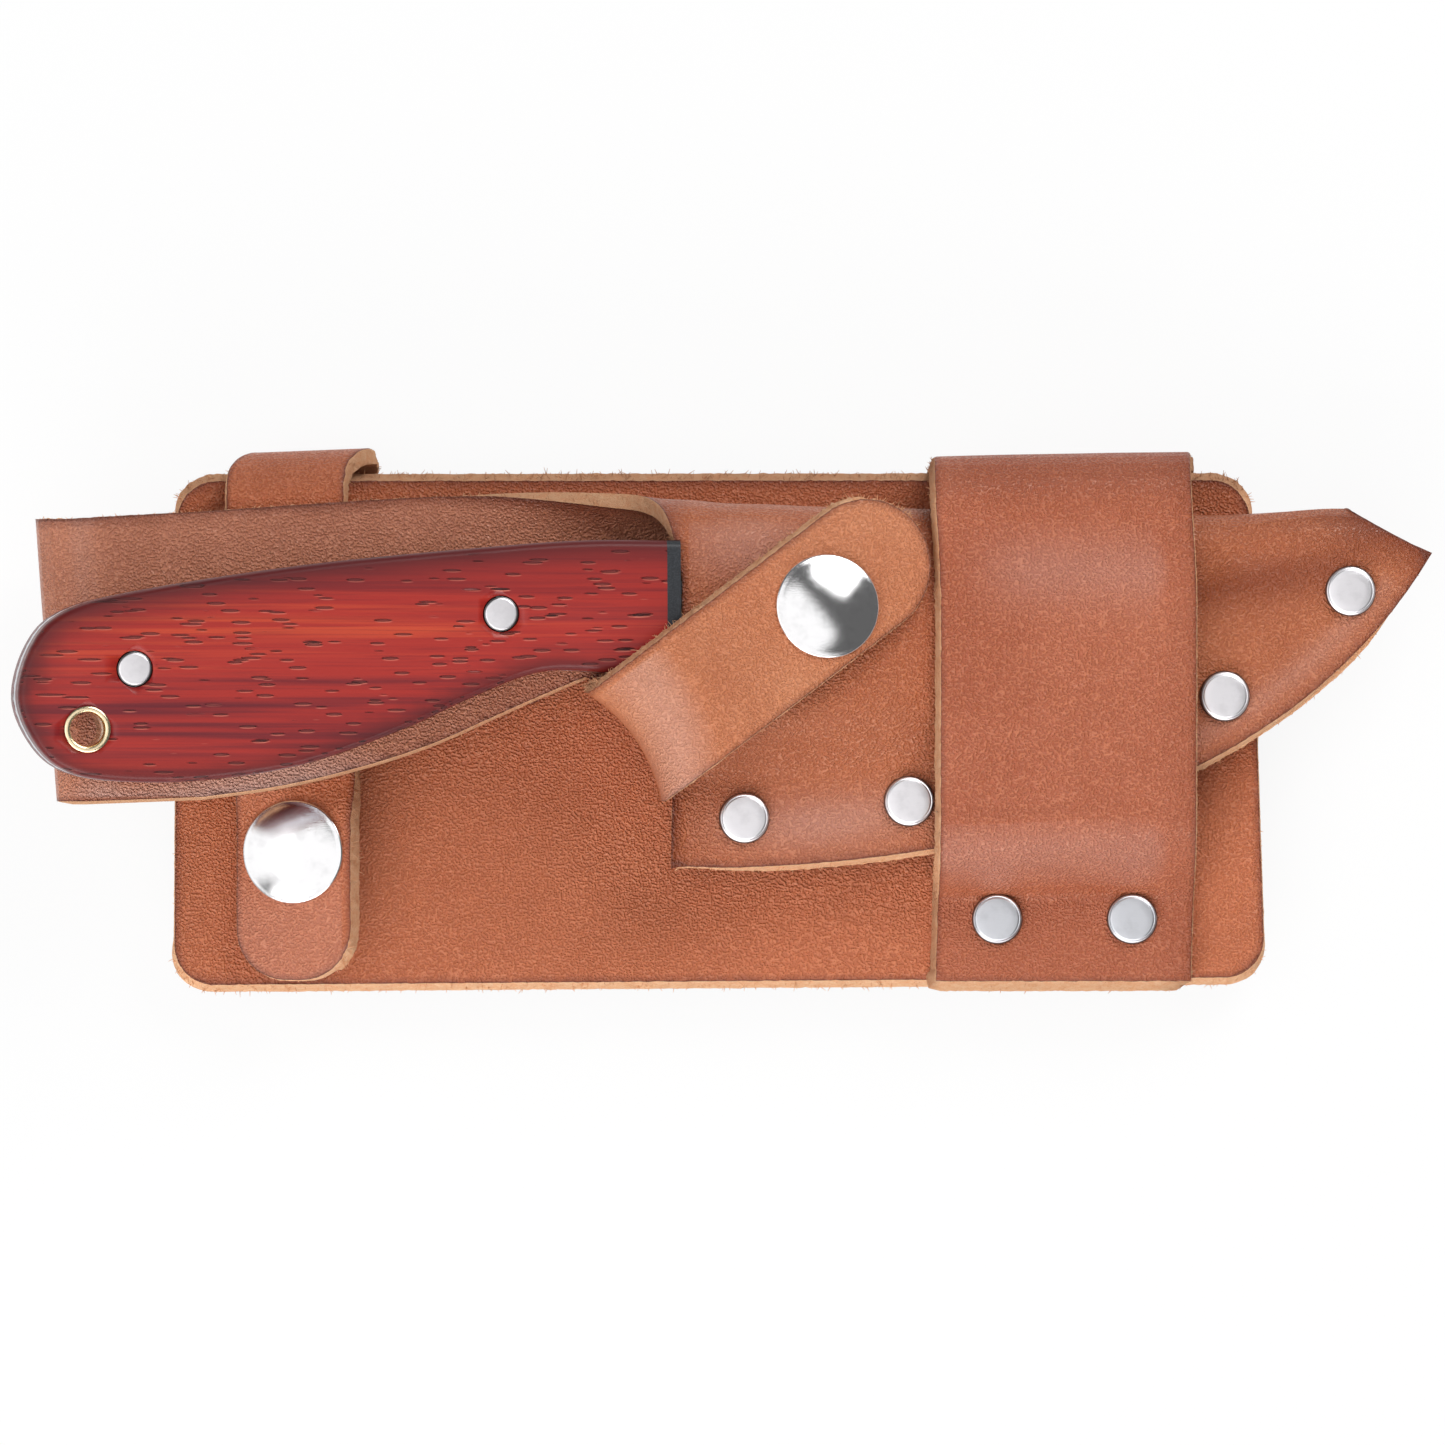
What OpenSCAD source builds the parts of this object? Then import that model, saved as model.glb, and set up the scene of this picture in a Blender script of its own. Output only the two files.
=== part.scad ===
// Outdoor knife in a folded leather sheath, carried on a leather belt panel.
// The carrier lies on its back: X along the knife, Y up the panel, Z towards the wearer's front.

/* [Leather] */
// Thickness of the strap leather
strap_t = 3; // [2:0.1:4]
// Thickness of the belt panel
panel_t = 3.2; // [2.4:0.1:4]
// Thickness of the sheath leather
sheath_t = 2.8; // [2:0.1:3.5]
// Gap left between pieces that pass each other
fit_gap = 0.3; // [0.2:0.05:0.5]

/* [Belt panel] */
// Length of the panel along the belt
panel_l = 192; // [170:1:230]
// Height of the panel at its left side
panel_h = 89; // [84:1:94]
// How much the right side is wider at the bottom
panel_flare = 0.5; // [0:0.5:6]
// How far the top right corner of the panel is set in
panel_nip = 2.6; // [0:0.2:5]
// Corner radius of the panel
panel_r = 7; // [4:0.5:12]
// Height of the panel's middle above the knife's base line
panel_y = -2.7; // [-4:0.1:-1]
// Room for the belt behind the panel
belt_gap = 5.5; // [5:0.5:8]

/* [Sheath] */
// Place of the sheath's mouth along the panel
mouth_x = -7.6; // [-12:0.2:-4]
// Length from the mouth to the point
sheath_l = 133.2; // [125:0.2:145]
// Height of the spine fold above the base line
spine_y = 38; // [37:0.2:39]
// Depth of the mouth from the spine fold to the lower edge
mouth_h = 64.5; // [62:0.5:67]
// Height of the point below the spine fold
point_drop = 8.7; // [6:0.1:12]
// Length of the slanted end beyond the spine fold
point_l = 15; // [12:0.5:18]
// Room inside the mouth above the blade's middle plane
mouth_rise = 5; // [4:0.1:5.5]
// Depth of the spine fold
fold_d = 7; // [6.2:0.1:8]
// Width of the welt along the lower edge
welt_w = 14; // [12:0.5:16]
// Thickness of the welt
welt_t = 4.5; // [4:0.1:6]

/* [Belt loop of the sheath] */
// Length from the mouth back to the end of the loop
loop_l = 113.4; // [108:0.2:120]
// Length over which the return rises to the back sheet
loop_ramp = 14; // [12:0.5:18]
// Length of the riveted end of the return
loop_land = 13; // [12:0.5:15]

/* [Knife] */
// Length of the blade outside the handle
blade_l = 106; // [90:1:108]
// Height of the blade
blade_h = 23; // [20:0.5:23]
// Thickness of the blade and tang
blade_t = 4; // [3:0.1:4.5]
// Thickness of the cutting edge
edge_t = 0.4; // [0.3:0.1:0.8]
// Length of the handle
handle_l = 117; // [110:1:120]
// Thickness of the handle
handle_t = 18.5; // [16:0.5:20]
// Rounding of the handle's edges
handle_round = 5; // [3:0.5:6]
// Length of the bolster at the front of the handle
bolster_l = 3.2; // [2.5:0.1:8]
// Diameter of the handle pins
pin_d = 6; // [5:0.1:7]
// Outer diameter of the lanyard tube
tube_od = 8.1; // [7.5:0.1:9]
// Inner diameter of the lanyard tube
tube_id = 6.2; // [5:0.1:6.6]

/* [Wide band] */
// Width of the band that holds the sheath
band_w = 45.4; // [40:0.2:48]
// Place of the band's middle along the panel
band_x = 61; // [60:0.2:62]
// Reach of the band above the base line
band_top = 46.8; // [46:0.1:49]
// Lower end of the band below the base line
band_low = 47.4; // [46:0.1:48]
// Distance between the band's two rivets
band_rivet_gap = 23.9; // [20:0.1:28]
// Depth of the band's rivets below the base line
band_rivet_y = 35.5; // [34:0.1:37]

/* [Keeper strap] */
// Width of the keeper strap
keeper_w = 21; // [19:0.5:22]
// Place of the keeper strap along the panel
keeper_x = -75.2; // [-77:0.2:-74]
// Reach of the keeper strap above the base line
keeper_top = 48; // [46:0.1:50]
// Depth of the keeper's snap below the base line
keeper_snap_y = 23.6; // [23.4:0.1:26]
// Lower end of the keeper's tail below the base line
keeper_low = 46.3; // [44:0.1:47]

/* [Retention strap] */
// Width of the retention strap
flap_w = 23.5; // [21:0.5:24]
// Length of the flap from its fold to its rounded end
flap_l = 64.2; // [61:0.2:64.4]
// Angle of the retention strap across the sheath
flap_angle = 35.1; // [34:0.1:36]
// Distance of the fold's middle behind the mouth
fold_back = 9.8; // [9.4:0.1:11]
// Depth of the fold's middle below the base line
fold_y = 5; // [4.5:0.1:6]
// Distance from the fold to the snap
flap_snap = 42.8; // [41:0.1:44]
// Length of the hidden run behind the sheath
flap_back = 32; // [26:1:36]

/* [Hardware] */
// Diameter of a rivet's caps
rivet_d = 9; // [8:0.1:9.5]
// Height of a rivet's cap
rivet_cap_h = 1.2; // [0.9:0.1:1.4]
// Thickness of a rivet's back plate
rivet_plate_t = 0.8; // [0.6:0.1:1]
// Diameter of a rivet's stem
rivet_stem_d = 3.2; // [2.6:0.1:3.6]
// Diameter of a snap's cap
snap_d = 17.9; // [16:0.1:18]
// Height of a snap's dome
snap_h = 2.4; // [1.8:0.1:2.6]
// Diameter of a snap's socket and stud
snap_base_d = 12.4; // [11:0.1:13]
// Thickness of a snap's socket
socket_t = 2; // [1.8:0.1:2.4]
// Gap from the sheath's front to the flap at its snap
flap_snap_gap = 3; // [2.8:0.1:3.4]

/* [Hidden] */
$fn = 64;

// Colours of the real materials
tan_leather = [0.70, 0.41, 0.27];
light_leather = [0.76, 0.47, 0.28];
red_wood = [0.66, 0.20, 0.16];
nickel = [0.86, 0.86, 0.88];
slate = [0.2, 0.23, 0.27];

// Room added where a strap runs over something uneven
slack = 0.2;

// Heights of the carrier's layers
panel_back = strap_t + belt_gap;
panel_top = panel_back + panel_t;
panel_right = panel_l / 2;
panel_left = -panel_l / 2;

// Lean of the sheath: its point end rests on the panel, its other end on the keeper strap's stack
return_end = keeper_x + keeper_w / 2 + 6;
lean_run = panel_right - return_end;
lean = asin((strap_t + 2 * fit_gap + slack / 2 + sheath_t - rivet_plate_t) / (lean_run - keeper_w));
loop_gap = strap_t + 2 * fit_gap + slack / 2 + keeper_w * tan(lean);
mouth_z = panel_top + fit_gap + rivet_plate_t + (panel_right - mouth_x) * tan(lean);

// Dip of the knife inside the sheath, from the handle's thickness to the blade's
tip_gap = 0.5;
dip = atan((handle_t / 2 + fit_gap - blade_t / 2 - tip_gap) / blade_l);
guard_gap = fit_gap + handle_t / 2 * sin(dip);
knife_z = sheath_t + (handle_t / 2 + fit_gap) / cos(dip);

// Heights across the sheath, above the underside of its back sheet
flange_z = sheath_t + welt_t;
flange_top = flange_z + sheath_t;
mouth_top = knife_z + mouth_rise + sheath_t;
front_slope = (mouth_top - flange_top) / blade_l;
front_end = sheath_l - point_l - 6;
fold_end = front_end + 1.5;
fold_fall = 0.9;
low_y = spine_y - mouth_h;
split_y = spine_y - fold_d;
back_top = split_y - fit_gap;

// Heights of the keeper strap, level between the two layers of the loop
keeper_left = keeper_x - keeper_w / 2;
keeper_z = sheath_under(keeper_left) - loop_gap / cos(lean) + fit_gap + slack / 4 + strap_t / 2;

// Retention strap, in its own frame along the flap
flap_hinge_z = sheath_t + 2.2;
handle_top_z = knife_z + handle_t / 2 + (fold_back + flap_w / 2) * tan(dip);
flap_z = handle_top_z + fit_gap + slack + strap_t / 2;
flap_level_l = 24;
flap_snap_x = -fold_back + flap_snap * cos(flap_angle);
flap_snap_base = mouth_top - front_slope * flap_snap_x;
flap_snap_z = flap_snap_base + flap_snap_gap + strap_t / 2;
flap_pitch = atan((flap_z - flap_snap_z) / (flap_snap - flap_level_l));

// Keeper's hinge line, parallel to the lower edge of the belt loop
loop_edge_left = [-84.5, -15.3];
loop_edge_right = [-56.4, -9.6];
loop_edge_angle = atan2(loop_edge_right[1] - loop_edge_left[1], loop_edge_right[0] - loop_edge_left[0]);
keeper_hinge_gap = 1.7;
keeper_hinge = [keeper_x, loop_edge_y(keeper_x - mouth_x) - keeper_hinge_gap / cos(loop_edge_angle)];

// Rivets of the sheath: place along the lower edge and distance inside it
sheath_rivet_places = [[0.074, 8.7], [0.266, 9], [0.468, 9], [0.682, 8.5], [0.902, 8]];
// Hidden rivets of the back: two in the loop's end, two in the retention strap's end
loop_rivet_y = [12.5, 25];
strap_rivet_y = [-5, 5];
strap_rivet_run = 20;

// Handle pins and lanyard tube: share of the handle's length and height
pin_places = [[0.272, 18.4], [0.825, 8.7]];
tube_place = [0.896, -1.9];

// Corners of the scales' outline: share of their length, depth below the front's top
handle_front_top = 31.4;
scale_shape = [
    [0, 0], [0.116, 0], [0.26, 1.1], [0.548, 4.3], [0.815, 9], [0.928, 12.6], [0.979, 18.5],
    [1, 28], [0.969, 36.4],
    [0.918, 40.9], [0.836, 42.5], [0.712, 42.3], [0.558, 39.5], [0.404, 33.4], [0.301, 28], [0.188, 23.2],
    [0.075, 23.4], [0, 24]
];

function lerp(a, b, k) = a + (b - a) * k;
function smooth(k) = let (c = min(1, max(0, k))) c * c * (3 - 2 * c);
function unit(v) = v / norm(v);
function left_of(v) = [-v[1], v[0]];
function reversed(p) = [for (i = [len(p) - 1:-1:0]) p[i]];

// Point on a cubic curve
function cubic(a, b, c, d, k) =
    a * pow(1 - k, 3) + b * 3 * k * pow(1 - k, 2) + c * 3 * k * k * (1 - k) + d * pow(k, 3);

// Smooth curve through points, with straight ends
function through(p, steps) = concat([
    for (i = [0:len(p) - 2], s = [0:steps - 1])
        let (a = p[max(0, i - 1)], b = p[i], c = p[i + 1], d = p[min(len(p) - 1, i + 2)], k = s / steps)
        0.5 * (2 * b + (c - a) * k + (2 * a - 5 * b + 4 * c - d) * k * k
            + (3 * b - a - 3 * c + d) * pow(k, 3))
], [p[len(p) - 1]]);

// Path with its corners rounded, to one radius or to a radius for each corner
function rounded(p, r, steps) = concat([p[0]], [
    for (i = [1:len(p) - 2])
        let (u = unit(p[i - 1] - p[i]), v = unit(p[i + 1] - p[i]), half = acos(max(-1, min(1, u * v))) / 2,
            wanted = (is_list(r) ? r[i - 1] : r) / tan(half),
            reach = min(wanted, norm(p[i - 1] - p[i]) * 0.48, norm(p[i + 1] - p[i]) * 0.48),
            c = p[i] + unit(u + v) * reach / cos(half), a = p[i] + u * reach - c, b = p[i] + v * reach - c,
            w = 180 - 2 * half)
        for (s = [0:steps]) c + (a * sin(w * (1 - s / steps)) + b * sin(w * s / steps)) / sin(w)
], [p[len(p) - 1]]);

// Direction square to a path at one of its points, lengthened at corners
function across(p, i) =
    let (a = unit(p[max(1, i)] - p[max(1, i) - 1]),
        b = unit(p[min(len(p) - 1, i + 1)] - p[min(len(p) - 1, i + 1) - 1]),
        n = unit(left_of(a) + left_of(b)))
    n / max(0.5, n * left_of(a));

// Closed outline of a strip of a given thickness along a path
function strip(p, t) = concat(
    [for (i = [0:len(p) - 1]) p[i] + across(p, i) * t / 2],
    reversed([for (i = [0:len(p) - 1]) p[i] - across(p, i) * t / 2])
);

// Lower edge of the sheath, from the mouth to the point
function lower_edge(k) = cubic([0, low_y], [0.395 * sheath_l, low_y], [0.808 * sheath_l, low_y + 12.5],
    [sheath_l, spine_y - point_drop], k);
function lower_normal(k) = left_of(unit(lower_edge(k + 0.001) - lower_edge(k - 0.001)));
function edge_share(x, a = 0, b = 1, n = 18) =
    n == 0 ? (a + b) / 2
    : lower_edge((a + b) / 2)[0] < x
        ? edge_share(x, (a + b) / 2, b, n - 1)
        : edge_share(x, a, (a + b) / 2, n - 1);
function rivet_at(place) = lower_edge(place[0]) + lower_normal(place[0]) * place[1];

// Underside of the back sheet above a place on the panel
function sheath_under(x) = mouth_z + (mouth_x - x) * tan(lean);
// Outer face of the sheath's front above the back sheet's underside
function front_top(x) = max(flange_top, mouth_top - front_slope * max(0, x));
function loop_edge_y(x) = loop_edge_left[1] + (x - loop_edge_left[0]) * tan(loop_edge_angle);

// Outlines of the scales, of the bolster in front of them and of the whole handle
scale_line = through([for (p = scale_shape) [
    -guard_gap - bolster_l - p[0] * (handle_l - bolster_l), handle_front_top - p[1]
]], 4);
scale_top = scale_line[0];
scale_low = scale_line[len(scale_line) - 1];
bolster_line = [[-guard_gap, scale_top[1]], scale_top, scale_low, [-guard_gap, scale_low[1]]];
handle_line = concat([bolster_line[0]], scale_line, [bolster_line[3]]);
// Outline moved inwards, straight up and down at the front
function inward(p, i, d) =
    i == 0 || (len(p) == 4 && i == 1) ? p[i] - [0, d]
    : i == len(p) - 1 || len(p) == 4 ? p[i] + [0, d]
    : p[i] + left_of(unit(p[i + 1] - p[i - 1])) * d;

// Reach of the whole object, for the origin at the middle of its base
reach_left = mouth_x - (guard_gap + handle_l) * cos(lean + dip) + knife_z * sin(lean)
    - (handle_t / 2 - handle_round) * sin(lean + dip);
reach_right = mouth_x + sheath_l * cos(lean) + flange_top * sin(lean);
reach_top = max(keeper_top, band_top);
reach_low = min(-band_low, panel_y - panel_h / 2);
centre = [(reach_left + reach_right) / 2, (reach_top + reach_low) / 2, 0];

module place() translate(-centre) children();
module in_sheath() place() translate([mouth_x, 0, mouth_z]) rotate([0, lean, 0]) children();
module in_knife() in_sheath() translate([0, 0, knife_z]) rotate([0, dip, 0]) children();
module in_flap() in_sheath() translate([-fold_back, -fold_y, 0]) rotate([0, 0, flap_angle]) children();
module at_flap_snap() in_flap() translate([flap_snap, 0, flap_snap_z]) rotate([0, flap_pitch, 0]) children();
module at_keeper_snap() place() translate([keeper_x, -keeper_snap_y, keeper_z]) children();

// Solid skinned over rings of points
module skin(rings) {
    n = len(rings[0]);
    m = len(rings);
    sides = [
        for (j = [0:m - 2], i = [0:n - 1], h = [0, 1])
            let (k = (i + 1) % n)
            h == 0 ? [j * n + i, j * n + k, (j + 1) * n + i] : [j * n + k, (j + 1) * n + k, (j + 1) * n + i]
    ];
    first = reversed([for (i = [0:n - 1]) i]);
    last = [for (i = [0:n - 1]) (m - 1) * n + i];
    polyhedron([for (r = rings) each r], concat([first], sides, [last]), convexity = 8);
}

// Strip profile in X and Z, pulled along Y about the middle
module strip_along_y(path, t, w) rotate([90, 0, 0]) linear_extrude(w, center = true, convexity = 8)
    polygon(strip(path, t));

// Strip profile in Y and Z, pulled along X about the middle
module strip_along_x(path, t, w) rotate([90, 0, 90]) linear_extrude(w, center = true, convexity = 8)
    polygon(strip(path, t));

// Parts of a two-piece rivet, set on the underside of a stack of leather
module rivet_post(stack) {
    translate([0, 0, -rivet_plate_t]) cylinder(h = rivet_plate_t, d = rivet_d);
    translate([0, 0, -rivet_plate_t / 2])
        cylinder(h = stack + rivet_plate_t / 2 + rivet_cap_h / 2, d = rivet_stem_d);
}
module rivet_cap(stack) translate([0, 0, stack]) difference() {
    rotate_extrude() polygon([
        [0, 0], [rivet_d / 2, 0], [rivet_d / 2, rivet_cap_h * 0.5], [rivet_d / 2 - 0.4, rivet_cap_h * 0.85],
        [rivet_d / 2 - 1.2, rivet_cap_h], [0, rivet_cap_h]
    ]);
    translate([0, 0, -1]) cylinder(h = 1 + rivet_cap_h / 2, d = rivet_stem_d + 0.1);
}
module rivet_hole() translate([0, 0, -20]) cylinder(h = 60, d = rivet_stem_d + 0.1);

// Snap parts, about the middle of the strap that carries the cap
snap_stem_d = 4.4;
knob_h = 1.5;
knob_low_d = 5.6;
knob_high_d = 3.8;
socket_bore_d = 6.8;
stud_stem_d = 2.6;
module snap_cap() translate([0, 0, strap_t / 2]) {
    intersection() {
        dome_r = (pow(snap_d / 2, 2) + pow(snap_h - 0.8, 2)) / (2 * (snap_h - 0.8));
        translate([0, 0, snap_h - dome_r]) sphere(dome_r, $fn = 96);
        cylinder(h = snap_h, d = snap_d, $fn = 96);
    }
    translate([0, 0, -strap_t - 0.4]) cylinder(h = strap_t + 0.6, d = snap_stem_d);
}
module snap_socket() translate([0, 0, -strap_t / 2 - socket_t]) difference() {
    cylinder(h = socket_t, d = snap_base_d);
    translate([0, 0, -1]) cylinder(h = 1 + socket_t - 0.5, d = socket_bore_d);
    cylinder(h = socket_t + 1, d = snap_stem_d + 0.1);
}
module snap_stud(gap) translate([0, 0, -strap_t / 2 - gap]) difference() {
    base_t = gap - socket_t - fit_gap;
    union() {
        cylinder(h = base_t, d = snap_base_d);
        translate([0, 0, base_t]) cylinder(h = knob_h, d1 = knob_low_d, d2 = knob_high_d);
    }
    translate([0, 0, -1]) cylinder(h = 1 + base_t + knob_h / 2, d = stud_stem_d + 0.1);
}
module snap_post(gap, under) translate([0, 0, -strap_t / 2 - gap - under]) {
    translate([0, 0, -1]) cylinder(h = 1, d = snap_base_d - 2);
    cylinder(h = under + gap - socket_t - fit_gap + knob_h / 2 - 0.05, d = stud_stem_d);
}
module snap_hole() translate([0, 0, -strap_t]) cylinder(h = 2 * strap_t, d = snap_stem_d + 0.1);
module stud_hole() translate([0, 0, -30]) cylinder(h = 60, d = stud_stem_d + 0.1);

// Knife
module at_pins() for (p = pin_places) translate([-guard_gap - p[0] * handle_l, p[1], 0]) children();
module at_tube() translate([-guard_gap - tube_place[0] * handle_l, tube_place[1], 0]) children();
module handle_bores() {
    at_pins() cylinder(h = 2 * handle_t, d = pin_d, center = true);
    at_tube() cylinder(h = 2 * handle_t, d = tube_od, center = true);
}
module blade_section() {
    edge_y = handle_front_top - blade_h;
    bevel_l = blade_l - 8;
    point_y = handle_front_top - blade_h * 0.42;
    skin([
        for (s = [0:20])
            let (
                k = s / 20,
                x = -guard_gap - 1 + k * (blade_l + guard_gap + 1),
                tip = smooth((k - 0.45) / 0.55),
                top = lerp(handle_front_top - 1, point_y + 2 * edge_t, pow(tip, 1.6)),
                low = lerp(edge_y, point_y, pow(max(0, (k - 0.4) / 0.6), 2.2)),
                open = smooth((x - (blade_l - bevel_l)) / 6),
                mid = lerp(low, top, 0.6 * open + 0.001),
                thin = lerp(blade_t, edge_t, open) / 2,
                back = lerp(blade_t, 2 * edge_t, pow(tip, 4)) / 2
            )
            [
                [x, low, -thin], [x, low, thin], [x, mid, back],
                [x, top, back], [x, top, -back], [x, mid, -back]
            ]
    ]);
}
module blade() color([0.72, 0.74, 0.76]) in_knife() difference() {
    union() {
        translate([0, 0, -blade_t / 2]) linear_extrude(blade_t) polygon(handle_line);
        blade_section();
    }
    handle_bores();
}
// Rounded piece of the handle on one face of the tang
module handle_half(line) {
    rise = handle_t / 2 - blade_t / 2;
    bend = min(handle_round, rise - 0.5);
    turns = [0, 25, 45, 65, 80, 90];
    rings = concat([[0, 0]], [for (a = turns) [rise - bend + bend * sin(a), handle_round * (1 - cos(a))]]);
    skin([for (r = reversed(rings)) [
        for (i = [0:len(line) - 1]) let (p = inward(line, i, r[1])) [p[0], p[1], blade_t / 2 + r[0]]
    ]]);
}
module front_scale() color(red_wood) in_knife() difference() {
    handle_half(scale_line);
    handle_bores();
}
module rear_scale() color(red_wood) in_knife() difference() {
    mirror([0, 0, 1]) handle_half(scale_line);
    handle_bores();
}
module front_bolster() color(slate) in_knife() handle_half(bolster_line);
module rear_bolster() color(slate) in_knife() mirror([0, 0, 1]) handle_half(bolster_line);
module handle_pins() color(nickel) in_knife() at_pins() cylinder(h = handle_t, d = pin_d, center = true);
module lanyard_tube() color([0.83, 0.70, 0.36]) in_knife() at_tube() difference() {
    cylinder(h = handle_t, d = tube_od, center = true);
    cylinder(h = handle_t + 2, d = tube_id, center = true);
}

// Sheath
edge_steps = 24;
lower_points = [for (s = [0:edge_steps]) lower_edge(s / edge_steps)];
// Slanted cut of the back sheet, just inside the retention strap's fold
cut_run = strap_t + fit_gap + slack;
function fold_point(run, side) = [-fold_back, -fold_y]
    + run * [cos(flap_angle), sin(flap_angle)] + side * [-sin(flap_angle), cos(flap_angle)];
loop_top_line = through([
    [-loop_l - 20, 34], [-84, 36.2], [-50, 38.4], [-36, 37.8], [-16, 34.8], [0, back_top]
], 4);
loop_low_line = through([[-24.5, 3.4], [-33, -0.4], [-44, -5.2], loop_edge_right], 3);
module loop_plan() polygon(concat(
    loop_top_line, [[0, fold_point(cut_run, -14)[1]], fold_point(cut_run, -14), fold_point(cut_run, 13)],
    loop_low_line, [loop_edge_left, [-loop_l - 20, loop_edge_left[1] - 0.5]]
));
module sheath_plan() polygon(concat(
    lower_points, [
        [sheath_l - point_l, spine_y - fold_fall], [fold_end, spine_y - fold_fall],
        [fold_end, back_top], [0, back_top]
    ]
));
loop_bend = (loop_gap + sheath_t) / 2;
loop_round_x = -loop_l + loop_bend + sheath_t / 2;
loop_path = concat(
    [for (a = [90:15:270]) [loop_round_x + loop_bend * cos(a), -loop_gap / 2 + loop_bend * sin(a)]],
    [for (s = [0:8]) [
        return_end - mouth_x + loop_ramp * s / 8,
        lerp(-loop_gap - sheath_t / 2, -sheath_t / 2, smooth(s / 8))
    ]],
    [[return_end - mouth_x + loop_ramp + loop_land, -sheath_t / 2]]
);
module at_loop_rivets() for (y = loop_rivet_y)
    translate([return_end - mouth_x + loop_ramp + loop_land / 2, y, 0]) children();
module at_strap_rivets() translate([-fold_back, -fold_y, 0]) rotate([0, 0, flap_angle])
    for (y = strap_rivet_y) translate([strap_rivet_run, y, 0]) children();
module at_sheath_rivets() for (p = sheath_rivet_places) translate(rivet_at(p)) children();
module sheath_back() color(tan_leather) in_sheath() difference() {
    union() {
        linear_extrude(sheath_t) {
            sheath_plan();
            intersection() {
                loop_plan();
                translate([loop_round_x, -100]) square([400, 200]);
            }
        }
        intersection() {
            strip_along_y(loop_path, sheath_t, 200);
            translate([0, 0, -50]) linear_extrude(100) loop_plan();
        }
    }
    at_loop_rivets() rivet_hole();
    at_strap_rivets() rivet_hole();
    at_sheath_rivets() rivet_hole();
}
// Upper edge of the sheath, straight along the fold and slanted to the point
function upper_edge(x) = x < sheath_l - point_l ? spine_y - fold_fall
    : lerp(spine_y - fold_fall, spine_y - point_drop, (x - sheath_l + point_l) / point_l);
// Middle line of the front layer across the sheath: flange, rise and spine fold, or flat at the point
function front_path(x) =
    let (k = edge_share(x), low = lower_edge(k)[1], rise = front_top(x) - sheath_t / 2,
        flat = flange_top - sheath_t / 2, folded = x <= front_end,
        top = folded ? split_y : lerp(low, upper_edge(x), 0.75), span = top - low,
        flange = min(welt_w / lower_normal(k)[1], span * 0.6), slope = min(16, span * 0.3),
        deep = fold_d - sheath_t / 2, tall = (rise - sheath_t / 2) / 2)
    concat(
        [[low, flat]],
        [for (s = [0:6]) [low + flange + slope * s / 6, lerp(flat, rise, smooth(s / 6))]],
        [for (a = [90:-18:-90]) folded
            ? [top + deep * cos(a), sheath_t / 2 + tall * (1 + sin(a))]
            : [lerp(upper_edge(x), top, (a + 90) / 180), flat]]
    );
front_stations = concat(
    [for (s = [0:14]) front_end * s / 14],
    [for (s = [0:5]) lerp(fold_end, sheath_l - 1, s / 5)]
);
module sheath_front() color(tan_leather) difference() {
    in_sheath() difference() {
        skin([for (x = front_stations) [for (p = strip(front_path(x), sheath_t)) [x, p[0], p[1]]]]);
        at_sheath_rivets() rivet_hole();
    }
    at_flap_snap() {
        translate([0, 0, -strap_t / 2 - flap_snap_gap]) cylinder(h = 10, d = snap_base_d + 0.2);
        translate([0, 0, -strap_t / 2 - flap_snap_gap - sheath_t - 10])
            cylinder(h = 10.4, d = snap_base_d - 1.8);
        stud_hole();
    }
}
module welt() color([0.62, 0.36, 0.23]) in_sheath() difference() {
    translate([0, 0, sheath_t]) linear_extrude(welt_t) intersection() {
        sheath_plan();
        union() {
            polygon(concat(lower_points, reversed([
                for (s = [0:edge_steps]) lower_edge(s / edge_steps) + lower_normal(s / edge_steps) * welt_w
            ])));
            translate([fold_end, -100]) square([100, 200]);
        }
    }
    at_sheath_rivets() rivet_hole();
}
module sheath_rivet_caps() color(nickel) in_sheath() at_sheath_rivets() rivet_cap(flange_top);
module sheath_rivet_posts() color(nickel) in_sheath() at_sheath_rivets() rivet_post(flange_top);
module back_rivet_caps() color(nickel) in_sheath() {
    at_loop_rivets() translate([0, 0, -sheath_t]) rivet_cap(2 * sheath_t);
    at_strap_rivets() translate([0, 0, -strap_t]) rivet_cap(strap_t + sheath_t);
}
module back_rivet_posts() color(nickel) in_sheath() {
    at_loop_rivets() translate([0, 0, -sheath_t]) rivet_post(2 * sheath_t);
    at_strap_rivets() translate([0, 0, -strap_t]) rivet_post(strap_t + sheath_t);
}

// Retention strap
base_end_gap = 0.6;
module retention_strap_base() color(light_leather) difference() {
    in_flap() strip_along_y(
        rounded([[strap_t / 2, flap_hinge_z - strap_t / 2 - base_end_gap], [strap_t / 2, -strap_t / 2],
            [flap_back, -strap_t / 2]], 1.9, 6),
        strap_t, flap_w
    );
    in_sheath() at_strap_rivets() rivet_hole();
}
module retention_strap_flap() color(light_leather) difference() {
    in_flap() intersection() {
        union() {
            strip_along_y(
                rounded([[strap_t / 2, flap_hinge_z], [strap_t / 2, flap_z], [flap_level_l, flap_z],
                    [flap_l, flap_z - (flap_l - flap_level_l) * tan(flap_pitch)]], 6, 8),
                strap_t, flap_w
            );
            translate([strap_t / 2, 0, flap_hinge_z]) rotate([90, 0, 0])
                cylinder(h = flap_w, d = strap_t, center = true);
        }
        translate([0, 0, -50]) linear_extrude(150) {
            translate([-10, -flap_w / 2]) square([10 + flap_l - flap_w / 2, flap_w]);
            translate([flap_l - flap_w / 2, 0]) circle(d = flap_w, $fn = 96);
        }
    }
    at_flap_snap() snap_hole();
}
module retention_snap_cap() color(nickel) at_flap_snap() snap_cap();
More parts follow.
